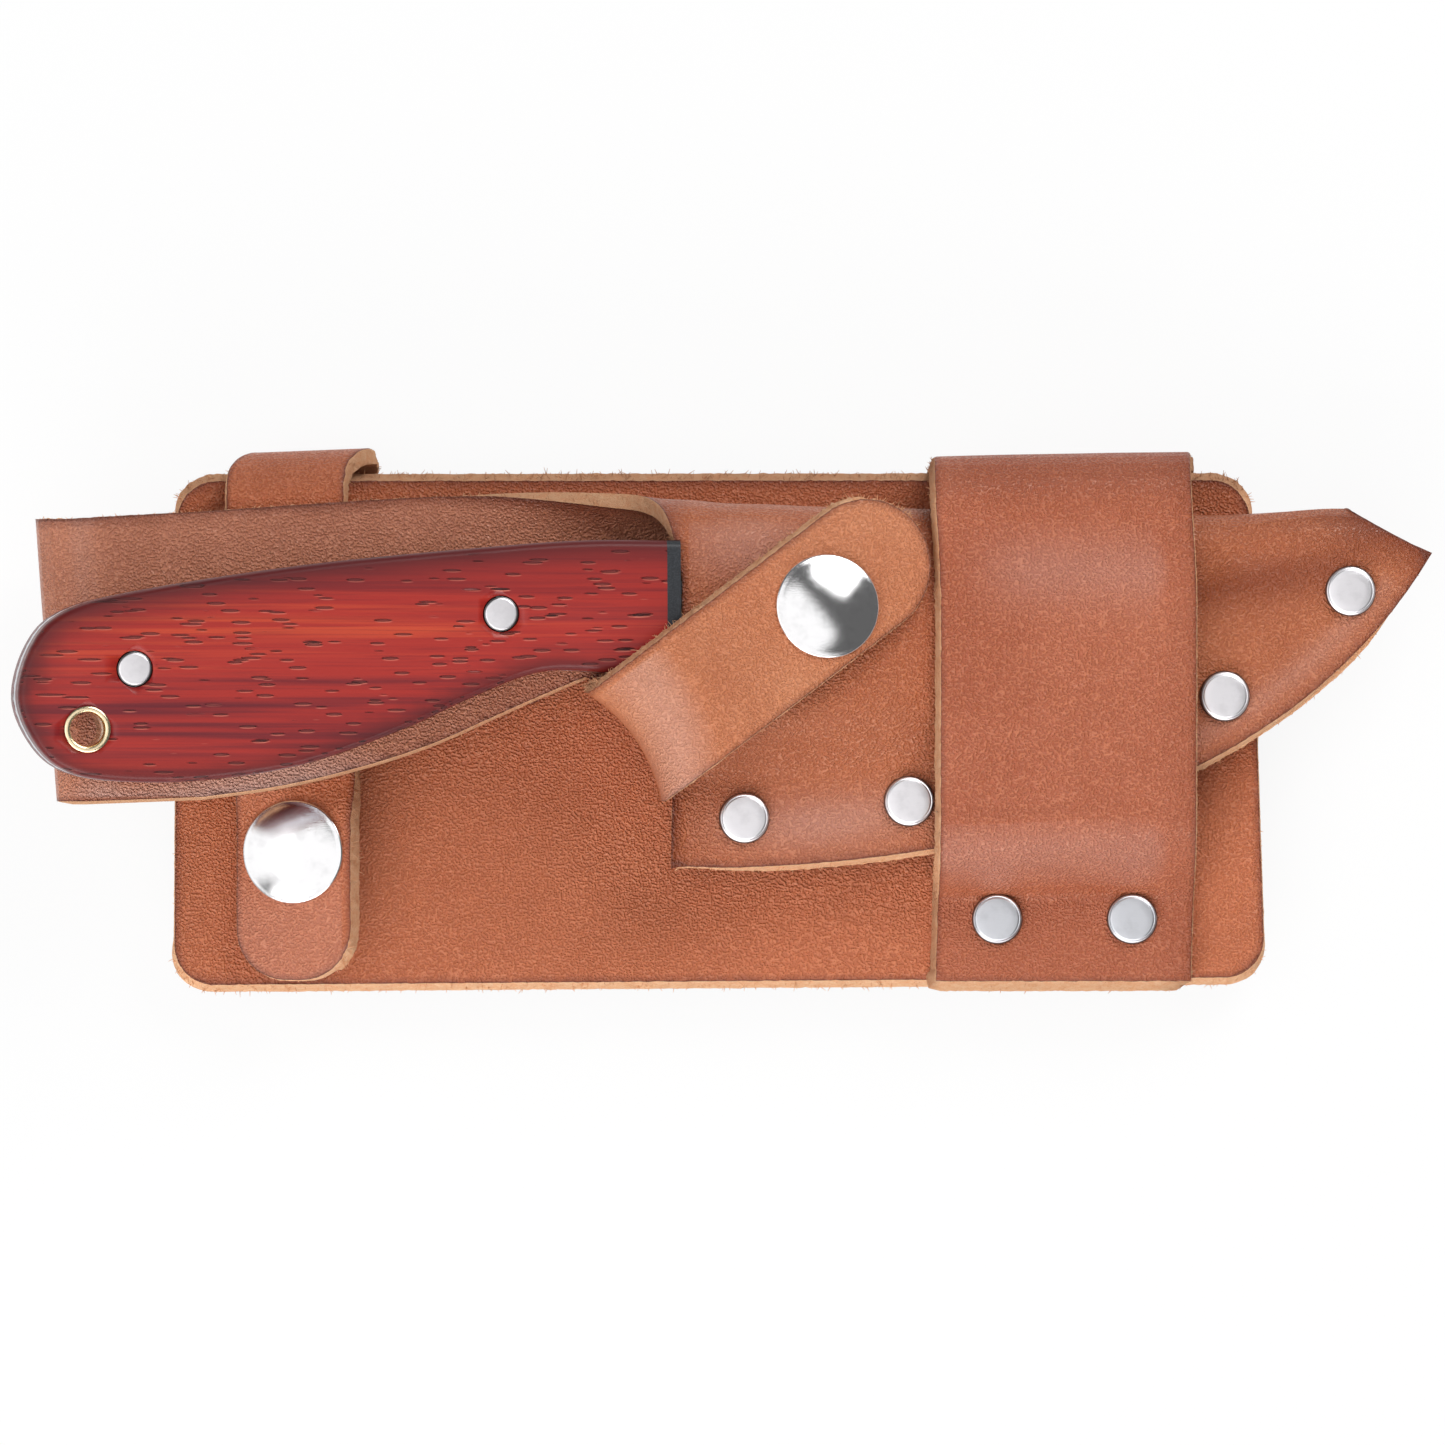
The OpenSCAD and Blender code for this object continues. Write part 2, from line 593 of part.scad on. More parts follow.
module retention_snap_socket() color(nickel) at_flap_snap() snap_socket();
module retention_snap_stud() color(nickel) at_flap_snap() snap_stud(flap_snap_gap);
module retention_snap_post() color(nickel) at_flap_snap() snap_post(flap_snap_gap, sheath_t - 0.4);

// Belt panel and its two straps
keeper_snap_gap = keeper_z - strap_t / 2 - panel_top;
module at_band_rivets() for (s = [-1, 1])
    translate([band_x + s * band_rivet_gap / 2, -band_rivet_y, panel_back - strap_t]) children();
module belt_panel() color(tan_leather) difference() {
    place() translate([0, panel_y, panel_back]) linear_extrude(panel_t) {
        corners = [
            [panel_left, -panel_h / 2], [panel_right + panel_flare, -panel_h / 2 + 1.5],
            [panel_right - panel_nip, panel_h / 2], [panel_left, panel_h / 2]
        ];
        start = (corners[0] + corners[3]) / 2;
        polygon(rounded(concat([start], corners, [start]), panel_r, 8));
    }
    place() at_band_rivets() rivet_hole();
    at_keeper_snap() stud_hole();
}
// Path of the band across the panel, over the sheath where that is thickest
band_left = band_x - band_w / 2;
band_edge_y = lower_edge(edge_share(band_left - mouth_x))[1];
band_climb = -band_rivet_y + rivet_d / 2 + 2;
band_low_z = sheath_under(band_left) + flange_top + rivet_cap_h + fit_gap + strap_t / 2;
band_high_z = sheath_under(band_left) + front_top(band_left - mouth_x) + fit_gap + slack + strap_t / 2;
band_path = rounded([
    [-band_low, panel_top + strap_t / 2], [band_climb, panel_top + strap_t / 2],
    [band_edge_y - 2.4, band_low_z],
    [band_edge_y + welt_w + 12, band_high_z], [band_top - strap_t / 2, band_high_z],
    [band_top - strap_t / 2, strap_t / 2], [band_climb + 9, strap_t / 2],
    [band_climb, panel_back - strap_t / 2],
    [-band_rivet_y - rivet_d / 2 - 2, panel_back - strap_t / 2]
], [2.4, 4, 20, 8, 8, 6, 3], 6);
module band_strap() color(tan_leather) place() difference() {
    translate([band_x, 0, 0]) strip_along_x(band_path, strap_t, band_w);
    at_band_rivets() rivet_hole();
}
module band_rivet_caps() color(nickel) place() at_band_rivets() rivet_cap(2 * strap_t + panel_t);
module band_rivet_posts() color(nickel) place() at_band_rivets() rivet_post(2 * strap_t + panel_t);

// Frame of the keeper's hinge line
module at_keeper_hinge() place() translate([keeper_hinge[0], keeper_hinge[1], keeper_z])
    rotate([0, 0, loop_edge_angle]) children();
keeper_turn_y = -keeper_snap_y + snap_base_d / 2 + 2;
module keeper_strap() color(tan_leather) difference() {
    place() translate([keeper_x, 0, 0]) strip_along_x(
        rounded([
            [keeper_hinge[1] - 20, keeper_z], [keeper_top - strap_t / 2, keeper_z],
            [keeper_top - strap_t / 2, strap_t / 2], [keeper_turn_y + 9, strap_t / 2],
            [keeper_turn_y, panel_back - strap_t / 2],
            [-keeper_snap_y - snap_base_d / 2 - 1, panel_back - strap_t / 2]
        ], 8.2, 8),
        strap_t, keeper_w
    );
    at_keeper_hinge() translate([-50, -100 + strap_t / 2 + fit_gap, -strap_t]) cube([100, 100, 2 * strap_t]);
    at_keeper_snap() stud_hole();
}
module keeper_tail() color(light_leather) difference() {
    intersection() {
        union() {
            place() translate([keeper_x, 0, keeper_z - strap_t / 2]) linear_extrude(strap_t) difference() {
                end_r = 8;
                union() {
                    translate([-keeper_w / 2, -keeper_low + end_r]) square([keeper_w, keeper_low]);
                    translate([-keeper_w / 2 + end_r, -keeper_low])
                        square([keeper_w - 2 * end_r, keeper_low]);
                    for (s = [-1, 1])
                        translate([s * (keeper_w / 2 - end_r), -keeper_low + end_r]) circle(end_r);
                }
                translate([0, keeper_hinge[1]]) rotate(loop_edge_angle) translate([-50, 0]) square(100);
            }
            at_keeper_hinge() rotate([0, 90, 0]) cylinder(h = 2 * keeper_w, d = strap_t, center = true);
        }
        place() translate([keeper_x - keeper_w / 2, -100, 0]) cube([keeper_w, 200, 100]);
    }
    at_keeper_snap() snap_hole();
}
module keeper_snap_cap() color(nickel) at_keeper_snap() snap_cap();
module keeper_snap_socket() color(nickel) at_keeper_snap() snap_socket();
module keeper_snap_stud() color(nickel) at_keeper_snap() snap_stud(keeper_snap_gap);
module keeper_snap_post() color(nickel) at_keeper_snap() snap_post(keeper_snap_gap, panel_t + strap_t);

blade();
front_scale();
rear_scale();
front_bolster();
rear_bolster();
handle_pins();
lanyard_tube();
sheath_back();
sheath_front();
welt();
sheath_rivet_caps();
sheath_rivet_posts();
back_rivet_caps();
back_rivet_posts();
retention_strap_base();
retention_strap_flap();
retention_snap_cap();
retention_snap_socket();
retention_snap_stud();
retention_snap_post();
belt_panel();
band_strap();
band_rivet_caps();
band_rivet_posts();
keeper_strap();
keeper_tail();
keeper_snap_cap();
keeper_snap_socket();
keeper_snap_stud();
keeper_snap_post();
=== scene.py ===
"""Looks of a belt knife in its riveted leather sheath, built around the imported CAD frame."""

import logging
import math
import random
from dataclasses import dataclass
from enum import Enum, IntEnum
from functools import cached_property
from typing import Callable, Sequence, Union

import bmesh
import bpy
from mathutils import Matrix, Vector, kdtree, noise


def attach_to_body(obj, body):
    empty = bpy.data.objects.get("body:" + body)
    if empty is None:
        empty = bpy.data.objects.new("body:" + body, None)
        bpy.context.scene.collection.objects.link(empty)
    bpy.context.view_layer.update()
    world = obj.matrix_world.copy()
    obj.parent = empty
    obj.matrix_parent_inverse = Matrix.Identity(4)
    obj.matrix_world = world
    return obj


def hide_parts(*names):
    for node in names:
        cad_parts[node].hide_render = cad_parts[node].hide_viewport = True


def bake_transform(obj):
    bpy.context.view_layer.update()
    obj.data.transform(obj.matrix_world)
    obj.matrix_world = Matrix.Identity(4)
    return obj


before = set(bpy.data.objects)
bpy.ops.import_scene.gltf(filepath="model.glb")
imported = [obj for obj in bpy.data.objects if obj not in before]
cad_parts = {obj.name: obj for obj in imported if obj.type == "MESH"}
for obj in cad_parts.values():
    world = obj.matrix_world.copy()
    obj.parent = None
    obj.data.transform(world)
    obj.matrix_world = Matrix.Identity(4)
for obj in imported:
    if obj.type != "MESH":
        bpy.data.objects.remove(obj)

log = logging.getLogger("belt_knife")

MM = 0.001
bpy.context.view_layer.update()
SHARP = math.radians(50)
MERGE = 1e-4
TRIES = 12

Point2 = tuple[float, float]
Value = Union[float, "Socket", tuple]
Zone = Callable[[float, float], float]


def lerp(a: float, b: float, share: float) -> float:
    """Returns the value a share of the way from a to b."""
    return a + (b - a) * share


def smooth(share: float) -> float:
    """Returns an eased share, level at 0 and 1."""
    c = min(1.0, max(0.0, share))
    return c * c * (3.0 - 2.0 * c)


def hump(x: float, centre: float, width: float) -> float:
    """Returns a bell curve, 1 at its centre."""
    return math.exp(-((x - centre) / width) ** 2)


def tone(code: str) -> tuple[float, float, float, float]:
    """Turns a six-digit colour as seen on screen into a linear colour.

    Args:
        code: Red, green and blue as hexadecimal digits.

    Returns:
        The linear colour with full opacity.
    """
    parts = [int(code[i:i + 2], 16) / 255.0 for i in (0, 2, 4)]
    line = [p / 12.92 if p <= 0.04045 else ((p + 0.055) / 1.055) ** 2.4 for p in parts]
    return line[0], line[1], line[2], 1.0


# Shaders


class Socket:
    """An output socket that takes part in sums, differences and products as Math nodes."""

    def __init__(self, bench: "Bench", socket: bpy.types.NodeSocket) -> None:
        """Keeps the bench that the socket's node lies on."""
        self.bench = bench
        self.socket = socket

    def _math(self, operation: str, a: Value, b: Value) -> "Socket":
        """Adds one Math node on two values."""
        return self.bench.node("ShaderNodeMath", {"operation": operation}, {0: a, 1: b})

    def __add__(self, other: Value) -> "Socket":
        """Returns self + other."""
        return self._math("ADD", self, other)

    def __radd__(self, other: Value) -> "Socket":
        """Returns other + self."""
        return self._math("ADD", other, self)

    def __sub__(self, other: Value) -> "Socket":
        """Returns self - other."""
        return self._math("SUBTRACT", self, other)

    def __rsub__(self, other: Value) -> "Socket":
        """Returns other - self."""
        return self._math("SUBTRACT", other, self)

    def __mul__(self, other: Value) -> "Socket":
        """Returns self * other."""
        return self._math("MULTIPLY", self, other)

    def __rmul__(self, other: Value) -> "Socket":
        """Returns other * self."""
        return self._math("MULTIPLY", other, self)


class Bench:
    """Node tree of one material, with one method that makes every node."""

    def __init__(self, name: str) -> None:
        """Starts a material with a Principled shader.

        Args:
            name: Name of the material.
        """
        self.material = bpy.data.materials.new(name)
        self.material.use_nodes = True
        self.tree = self.material.node_tree
        self.shader = self.tree.nodes["Principled BSDF"]

    def node(self, kind: str, settings: dict, inputs: dict, output: Union[str, int] = 0) -> Socket:
        """Adds a node.

        Args:
            kind: Type of the node.
            settings: Properties to set first.
            inputs: Values or sockets by socket name or index.
            output: Output socket to hand back.

        Returns:
            The chosen output.
        """
        made = self.tree.nodes.new(kind)
        for key, value in settings.items():
            setattr(made, key, value)
        for key, value in inputs.items():
            self.feed(made.inputs[key], value)
        return Socket(self, made.outputs[output])

    def feed(self, target: bpy.types.NodeSocket, value: Value) -> None:
        """Links a socket to an input, or sets its value."""
        if isinstance(value, Socket):
            self.tree.links.new(value.socket, target)
        else:
            target.default_value = value

    def set(self, **values: Value) -> None:
        """Feeds inputs of the Principled shader, named with underscores for spaces."""
        for key, value in values.items():
            self.feed(self.shader.inputs[key.replace("_", " ")], value)

    def place(self, turn: tuple = (0, 0, 0), stretch: tuple = (1, 1, 1), rise: float = 0.0) -> Socket:
        """Returns object coordinates, turned, stretched and moved across by a rise in millimetres."""
        coords = self.node("ShaderNodeTexCoord", {}, {}, "Object")
        return self.node("ShaderNodeMapping", {}, {
            "Vector": coords, "Location": (0.0, rise * MM, 0.0), "Rotation": turn, "Scale": stretch})

    def cloud(self, coords: Socket, size: float, detail: float = 2.0, rough: float = 0.5) -> Socket:
        """Returns noise whose features are about size millimetres across."""
        return self.node("ShaderNodeTexNoise", {}, {
            "Vector": coords, "Scale": 1.0 / (size * MM), "Detail": detail, "Roughness": rough}, "Fac")

    def cells(self, coords: Socket, size: float, output: str = "Distance") -> Socket:
        """Returns a cell pattern of about size millimetres."""
        return self.node("ShaderNodeTexVoronoi", {}, {"Vector": coords, "Scale": 1.0 / (size * MM)}, output)

    def step(self, value: Value, low: float, high: float, to_low: float = 0.0,
             to_high: float = 1.0) -> Socket:
        """Eases a value from one range to another."""
        return self.node("ShaderNodeMapRange", {"interpolation_type": "SMOOTHSTEP"}, {
            "Value": value, "From Min": low, "From Max": high, "To Min": to_low, "To Max": to_high})

    def mix(self, mask: Value, a: Value, b: Value) -> Socket:
        """Mixes two colours by a mask."""
        return self.node("ShaderNodeMix", {"data_type": "RGBA"}, {0: mask, 6: a, 7: b}, 2)

    def mark(self, name: str) -> Socket:
        """Returns a number painted on the mesh."""
        return self.node("ShaderNodeAttribute", {"attribute_name": name}, {}, "Fac")

    def bump(self, height: Socket, depth: float, strength: float = 1.0) -> Socket:
        """Turns a height into a normal; depth is in millimetres."""
        return self.node("ShaderNodeBump", {}, {
            "Height": height, "Distance": depth * MM, "Strength": strength})


@dataclass(frozen=True)
class GrainFinish:
    """Smooth grain side of vegetable-tanned leather."""

    name: str
    light: str = "bd683e"
    dark: str = "ae5930"
    # Tone of the burnished rims, also used as painted shade in the grain's grooves.
    burnish_and_groove_shade: str = "7b3822"
    rough: float = 0.40
    pebble: float = 0.43
    # Painted highlight on the raised pebble tops.
    pebble_highlight: str = "e09c74"
    # Tones of painted shade with burnish, and of painted sheen, driven by the shade mark.
    shade_and_burnish: str = "833509"
    painted_sheen: str = "ecd0c8"
    rim_line: str = "54200f"

    def material(self) -> bpy.types.Material:
        """Returns the finish as a material with pebble, mottling, burnished rims, painted shade and painted
        sheen.
        """
        b = Bench(self.name)
        coords = b.place()
        clouds = b.cloud(coords, 34.0, 2.0, 0.5)
        fine = b.cloud(coords, 5.0, 3.0, 0.5)
        grain = b.cloud(coords, self.pebble, 0.8, 0.5)
        relief = b.step(grain, 0.3, 0.7)
        colour = b.mix(b.step(clouds * 0.7 + fine * 0.3, 0.3, 0.7), tone(self.dark), tone(self.light))
        # Painted shade in the grain's grooves.
        colour = b.mix(b.step(relief, 0.1, 0.5, 0.24, 0.0), colour, tone(self.burnish_and_groove_shade))
        # Painted highlight on the pebble tops.
        colour = b.mix(b.step(relief, 0.5, 0.9, 0.0, 0.18), colour, tone(self.pebble_highlight))
        rim = b.mark("rim")
        colour = b.mix(b.step(rim + (fine - 0.5) * 0.5, 0.3, 1.0) * 0.55, colour, tone(self.burnish_and_groove_shade))
        shade = b.mark("shade")
        # Painted shade and burnish where the shade mark is above zero.
        colour = b.mix(shade, colour, tone(self.shade_and_burnish))
        # Painted sheen where the shade mark is below zero.
        colour = b.mix(shade * -1.0, colour, tone(self.painted_sheen))
        colour = b.mix(b.step(rim, 0.86, 0.95) * 0.55, colour, tone(self.rim_line))
        b.set(Base_Color=colour, Roughness=b.step(relief, 0.1, 0.9, self.rough + 0.1, self.rough - 0.06))
        b.set(Specular_IOR_Level=0.55, Coat_Weight=0.05, Coat_Roughness=0.4)
        b.set(Normal=b.bump(relief, 0.24))
        return b.material


@dataclass(frozen=True)
class CutFinish:
    """Raw cut edge or flesh side of the leather, pale and fibrous."""

    name: str
    light: str = "ffd3aa"
    dark: str = "f0ab7c"
    # Darker brown of burnished and frayed cuts, also painted shade where the shade mark is high.
    brown_cut_and_shade: str = "6f3620"
    sheen: str = "f4b48a"
    fibre: float = 0.35
    clump: float = 1.6
    flatness: float = 0.45

    def material(self) -> bpy.types.Material:
        """Returns the finish as a material with matted fibres."""
        b = Bench(self.name)
        coords = b.place(stretch=(1, 1, 1 / self.flatness))
        fibres = b.cloud(coords, self.fibre, 5.0, 0.7)
        clumps = b.cloud(coords, self.clump, 3.0, 0.6)
        shade = b.step(fibres * 0.6 + clumps * 0.4, 0.33, 0.66)
        colour = b.mix(shade, tone(self.dark), tone(self.light))
        # Darker by the shade mark: brown cut, burnish and painted shade.
        b.set(Base_Color=b.mix(b.mark("shade"), colour, tone(self.brown_cut_and_shade)), Roughness=0.88)
        b.set(Specular_IOR_Level=0.15, Sheen_Weight=0.3, Sheen_Roughness=0.6, Sheen_Tint=tone(self.sheen))
        b.set(Normal=b.bump(fibres + clumps * 0.5, 0.4, 0.9))
        return b.material


@dataclass(frozen=True)
class WoodFinish:
    """Oiled red hardwood with dark stripes and open pores along the grain."""

    name: str
    bright: str = "aa2a20"
    middle: str = "981e18"
    dark: str = "63101c"
    streak: str = "cb4e2a"
    pore: str = "430a0d"
    # Painted highlight on the pores' lips.
    pore_highlight: str = "dc7a68"
    shadow: str = "5a0d14"
    # Tone of painted shade on the rounded rim.
    rim: str = "43090f"
    lie: float = 7.0
    band_width: float = 5.0
    line_width: float = 1.2
    thread_width: float = 0.35
    pores: tuple = ((0.11, 1.0, 0.42), (0.05, 0.85, 0.62))

    def material(self) -> bpy.types.Material:
        """Returns the finish as a material with stripes and pore dashes."""
        b = Bench(self.name)
        turn = (0, 0, math.radians(-self.lie))
        long, short = b.place(turn, (0.008, 1, 0.15)), b.place(turn, (0.012, 1, 0.15))
        bands = b.cloud(long, self.band_width, 2.0, 0.5)
        lines = b.cloud(long, self.line_width, 2.0, 0.55)
        threads = b.cloud(short, self.thread_width, 2.0, 0.5)
        colour = b.mix(b.step(bands * 0.6 + lines * 0.4, 0.29, 0.57), tone(self.dark), tone(self.bright))
        colour = b.mix(b.step(lines, 0.42, 0.62) * 0.45, colour, tone(self.middle))
        colour = b.mix(b.step(bands, 0.52, 0.68) * b.step(lines, 0.6, 0.4) * 0.6, colour, tone(self.streak))
        colour = b.mix(b.step(threads, 0.48, 0.70) * 0.28, colour, tone(self.dark))
        pores = self._dashes(b, turn, 0.0)
        # Painted highlight: the pores moved across the grain, lightening their lower lips.
        lip_highlights = self._dashes(b, turn, 0.24)
        colour = b.mix(lip_highlights * 0.45, colour, tone(self.pore_highlight))
        colour = b.mix(pores * 0.7, colour, tone(self.pore))
        # Painted shade along the handle's upper side.
        colour = b.mix(b.mark("shade") * 0.5, colour, tone(self.shadow))
        # Painted shade on the rounded rim.
        colour = b.mix(b.mark("rim") * 0.7, colour, tone(self.rim))
        b.set(Base_Color=colour, Roughness=b.step(lines, 0.3, 0.7, 0.36, 0.46) + b.mark("rim") * 0.05)
        b.set(Specular_IOR_Level=0.3, Coat_Weight=0.22, Coat_Roughness=0.25)
        b.set(Normal=b.bump(lines * 0.1 - pores, 0.7))
        return b.material

    def _dashes(self, b: Bench, turn: tuple, rise: float) -> Socket:
        """Returns open pores as short dashes along the grain.

        Args:
            b: Bench of the material.
            turn: Turn of the grain.
            rise: Distance that all dashes are moved across the grain in millimetres.

        Returns:
            One inside the dashes and zero between them.
        """
        crowd = b.cloud(b.place(turn, (0.3, 1, 1)), 12.0, 1.0)
        dashes = 0.0
        for slim, size, rare in self.pores:
            coords = b.place(turn, (slim, 1, 1), rise)
            chance = b.node("ShaderNodeSeparateColor", {}, {"Color": b.cells(coords, size, "Color")})
            chosen = b.step(chance + (crowd - 0.5) * 0.5, rare, rare + 0.04)
            dashes = b.step(b.cells(coords, size), 0.27, 0.18) * chosen + dashes
        return dashes


class Polish(Enum):
    """How a metal's surface was left."""

    MIRROR = 0.07
    BRIGHT = 0.16
    SATIN = 0.33


@dataclass(frozen=True)
class MetalFinish:
    """Plain metal with a little handling wear."""

    name: str
    colour: str
    polish: Polish
    seam: str = "3a3431"
    scratch: float = 0.05
    wear: float = 0.08

    def material(self) -> bpy.types.Material:
        """Returns the finish as a metal material with hairlines and smudges."""
        b = Bench(self.name)
        hair = b.cloud(b.place((0, 0, 0.6), (0.06, 1, 1)), 0.12, 3.0, 0.6)
        smudge = b.cloud(b.place(), 3.0, 3.0, 0.6)
        grey = tuple(c * 0.72 for c in tone(self.colour)[:3]) + (1.0,)
        colour = b.mix(b.step(smudge, 0.45, 0.75) * 0.35, tone(self.colour), grey)
        rough = self.polish.value
        b.set(Base_Color=b.mix(b.mark("rim") * 0.85, colour, tone(self.seam)), Metallic=1.0)
        b.set(Roughness=b.step(hair * 0.5 + smudge * 0.5, 0.3, 0.7, rough, rough + self.wear))
        b.set(Normal=b.bump(hair, self.scratch, 0.3))
        return b.material


@dataclass(frozen=True)
class CoatedFinish:
    """Dark slate-like composite of the bolster."""

    name: str
    colour: str = "30343a"
    fleck: str = "1c1f24"

    def material(self) -> bpy.types.Material:
        """Returns the finish as a fine speckled material."""
        b = Bench(self.name)
        speck = b.cloud(b.place(), 0.3, 3.0, 0.6)
        b.set(Base_Color=b.mix(b.step(speck, 0.4, 0.7), tone(self.fleck), tone(self.colour)), Roughness=0.42)
        b.set(Normal=b.bump(speck, 0.05, 0.4))
        return b.material


# Layout and mesh tools


@dataclass(frozen=True)
class Layout:
    """Sizes and places that the sub-assemblies share, in millimetres, worked out as in the CAD model."""

    centre: Point2 = (0.580489, 0.3)
    strap_t: float = 3.0
    panel_t: float = 3.2
    sheath_t: float = 2.8
    welt_t: float = 4.5
    fit_gap: float = 0.3
    slack: float = 0.2
    belt_gap: float = 5.5
    panel_l: float = 192.0
    mouth_x: float = -7.6
    mouth_rise: float = 5.0
    rivet_plate_t: float = 0.8
    blade_l: float = 106.0
    blade_t: float = 4.0
    tip_gap: float = 0.5
    handle_t: float = 18.5
    keeper_w: float = 21.0
    keeper_x: float = -75.2
    keeper_snap_y: float = 23.6
    keeper_roll: float = math.radians(15.0)
    return_past_keeper: float = 6.0
    fold_back: float = 9.8
    fold_y: float = 5.0
    flap_w: float = 23.5
    flap_angle: float = math.radians(35.1)
    flap_level: float = 24.0
    flap_snap: float = 42.8
    flap_snap_gap: float = 3.0

    @property
    def panel_back(self) -> float:
        """Height of the panel's back."""
        return self.strap_t + self.belt_gap

    @property
    def panel_top(self) -> float:
        """Height of the panel's face."""
        return self.panel_back + self.panel_t

    @property
    def keeper_room(self) -> float:
        """Room that the keeper strap needs in the belt loop."""
        return self.strap_t + 2 * self.fit_gap + self.slack / 2

    @property
    def lean(self) -> float:
        """Angle at which the sheath leans on the panel, raised at its loop."""
        run = self.panel_l / 2 - (self.keeper_x + self.keeper_w / 2 + self.return_past_keeper)
        return math.asin((self.keeper_room + self.sheath_t - self.rivet_plate_t) / (run - self.keeper_w))

    @property
    def loop_gap(self) -> float:
        """Clear height inside the belt loop."""
        return self.keeper_room + self.keeper_w * math.tan(self.lean)

    @property
    def mouth_z(self) -> float:
        """Height of the sheath's underside at its mouth."""
        foot = self.panel_top + self.fit_gap + self.rivet_plate_t
        return foot + (self.panel_l / 2 - self.mouth_x) * math.tan(self.lean)

    @property
    def keeper_z(self) -> float:
        """Height of the keeper strap's middle where it passes the belt loop."""
        left = self.keeper_x - self.keeper_w / 2
        under = self.mouth_z + (self.mouth_x - left) * math.tan(self.lean)
        return under - self.loop_gap / math.cos(self.lean) + self.fit_gap + self.slack / 4 + self.strap_t / 2

    @property
    def dip(self) -> float:
        """Angle at which the blade dips to the back sheet."""
        drop = self.handle_t / 2 + self.fit_gap - self.blade_t / 2 - self.tip_gap
        return math.atan(drop / self.blade_l)

    @property
    def guard_gap(self) -> float:
        """Gap between the sheath's mouth and the handle's front."""
        return self.fit_gap + self.handle_t / 2 * math.sin(self.dip)

    @property
    def knife_z(self) -> float:
        """Height of the knife's middle above the sheath's underside, at the mouth."""
        return self.sheath_t + (self.handle_t / 2 + self.fit_gap) / math.cos(self.dip)

    @property
    def flange_top(self) -> float:
        """Height of the riveted flange's face above the sheath's underside."""
        return 2 * self.sheath_t + self.welt_t

    @property
    def mouth_top(self) -> float:
        """Height of the front layer's face above the sheath's underside, at the mouth."""
        return self.knife_z + self.mouth_rise + self.sheath_t

    @property
    def front_slope(self) -> float:
        """Fall of the front layer's face towards the point."""
        return (self.mouth_top - self.flange_top) / self.blade_l

    @property
    def flap_z(self) -> float:
        """Height of the retention strap's middle above the handle."""
        reach = self.fold_back + self.flap_w / 2
        handle_top = self.knife_z + self.handle_t / 2 + reach * math.tan(self.dip)
        return handle_top + self.fit_gap + self.slack + self.strap_t / 2

    @property
    def flap_snap_z(self) -> float:
        """Height of the retention strap's middle at its snap."""
        x = self.flap_snap * math.cos(self.flap_angle) - self.fold_back
        return self.mouth_top - self.front_slope * x + self.flap_snap_gap + self.strap_t / 2

    @property
    def flap_pitch(self) -> float:
        """Angle at which the retention strap comes down to its snap."""
        return math.atan((self.flap_z - self.flap_snap_z) / (self.flap_snap - self.flap_level))

    @cached_property
    def plan(self) -> Matrix:
        """Frame of the panel's plan."""
        return Matrix.Translation((-self.centre[0], -self.centre[1], 0.0))

    @cached_property
    def sheath(self) -> Matrix:
        """Frame of the sheath, at the mouth on the underside of the back sheet."""
        place = Matrix.Translation((self.mouth_x, 0.0, self.mouth_z))
        return self.plan @ place @ Matrix.Rotation(self.lean, 4, "Y")

    @cached_property
    def knife(self) -> Matrix:
        """Frame of the knife, in the blade's middle plane."""
        return self.sheath @ Matrix.Translation((0, 0, self.knife_z)) @ Matrix.Rotation(self.dip, 4, "Y")

    @cached_property
    def flap(self) -> Matrix:
        """Frame of the retention strap, along the flap from its fold."""
        place = Matrix.Translation((-self.fold_back, -self.fold_y, 0))
        return self.sheath @ place @ Matrix.Rotation(self.flap_angle, 4, "Z")

    @cached_property
    def flap_snap_place(self) -> Matrix:
        """Frame of the retention snap, in the middle of the strap."""
        place = Matrix.Translation((self.flap_snap, 0, self.flap_snap_z))
        return self.flap @ place @ Matrix.Rotation(self.flap_pitch, 4, "Y")

    @cached_property
    def keeper_snap_place(self) -> Matrix:
        """Frame of the keeper's snap, rolled with the tail."""
        place = Matrix.Translation((self.keeper_x, -self.keeper_snap_y, self.keeper_z))
        return self.plan @ place @ Matrix.Rotation(-self.keeper_roll, 4, "Y")


LAYOUT = Layout()


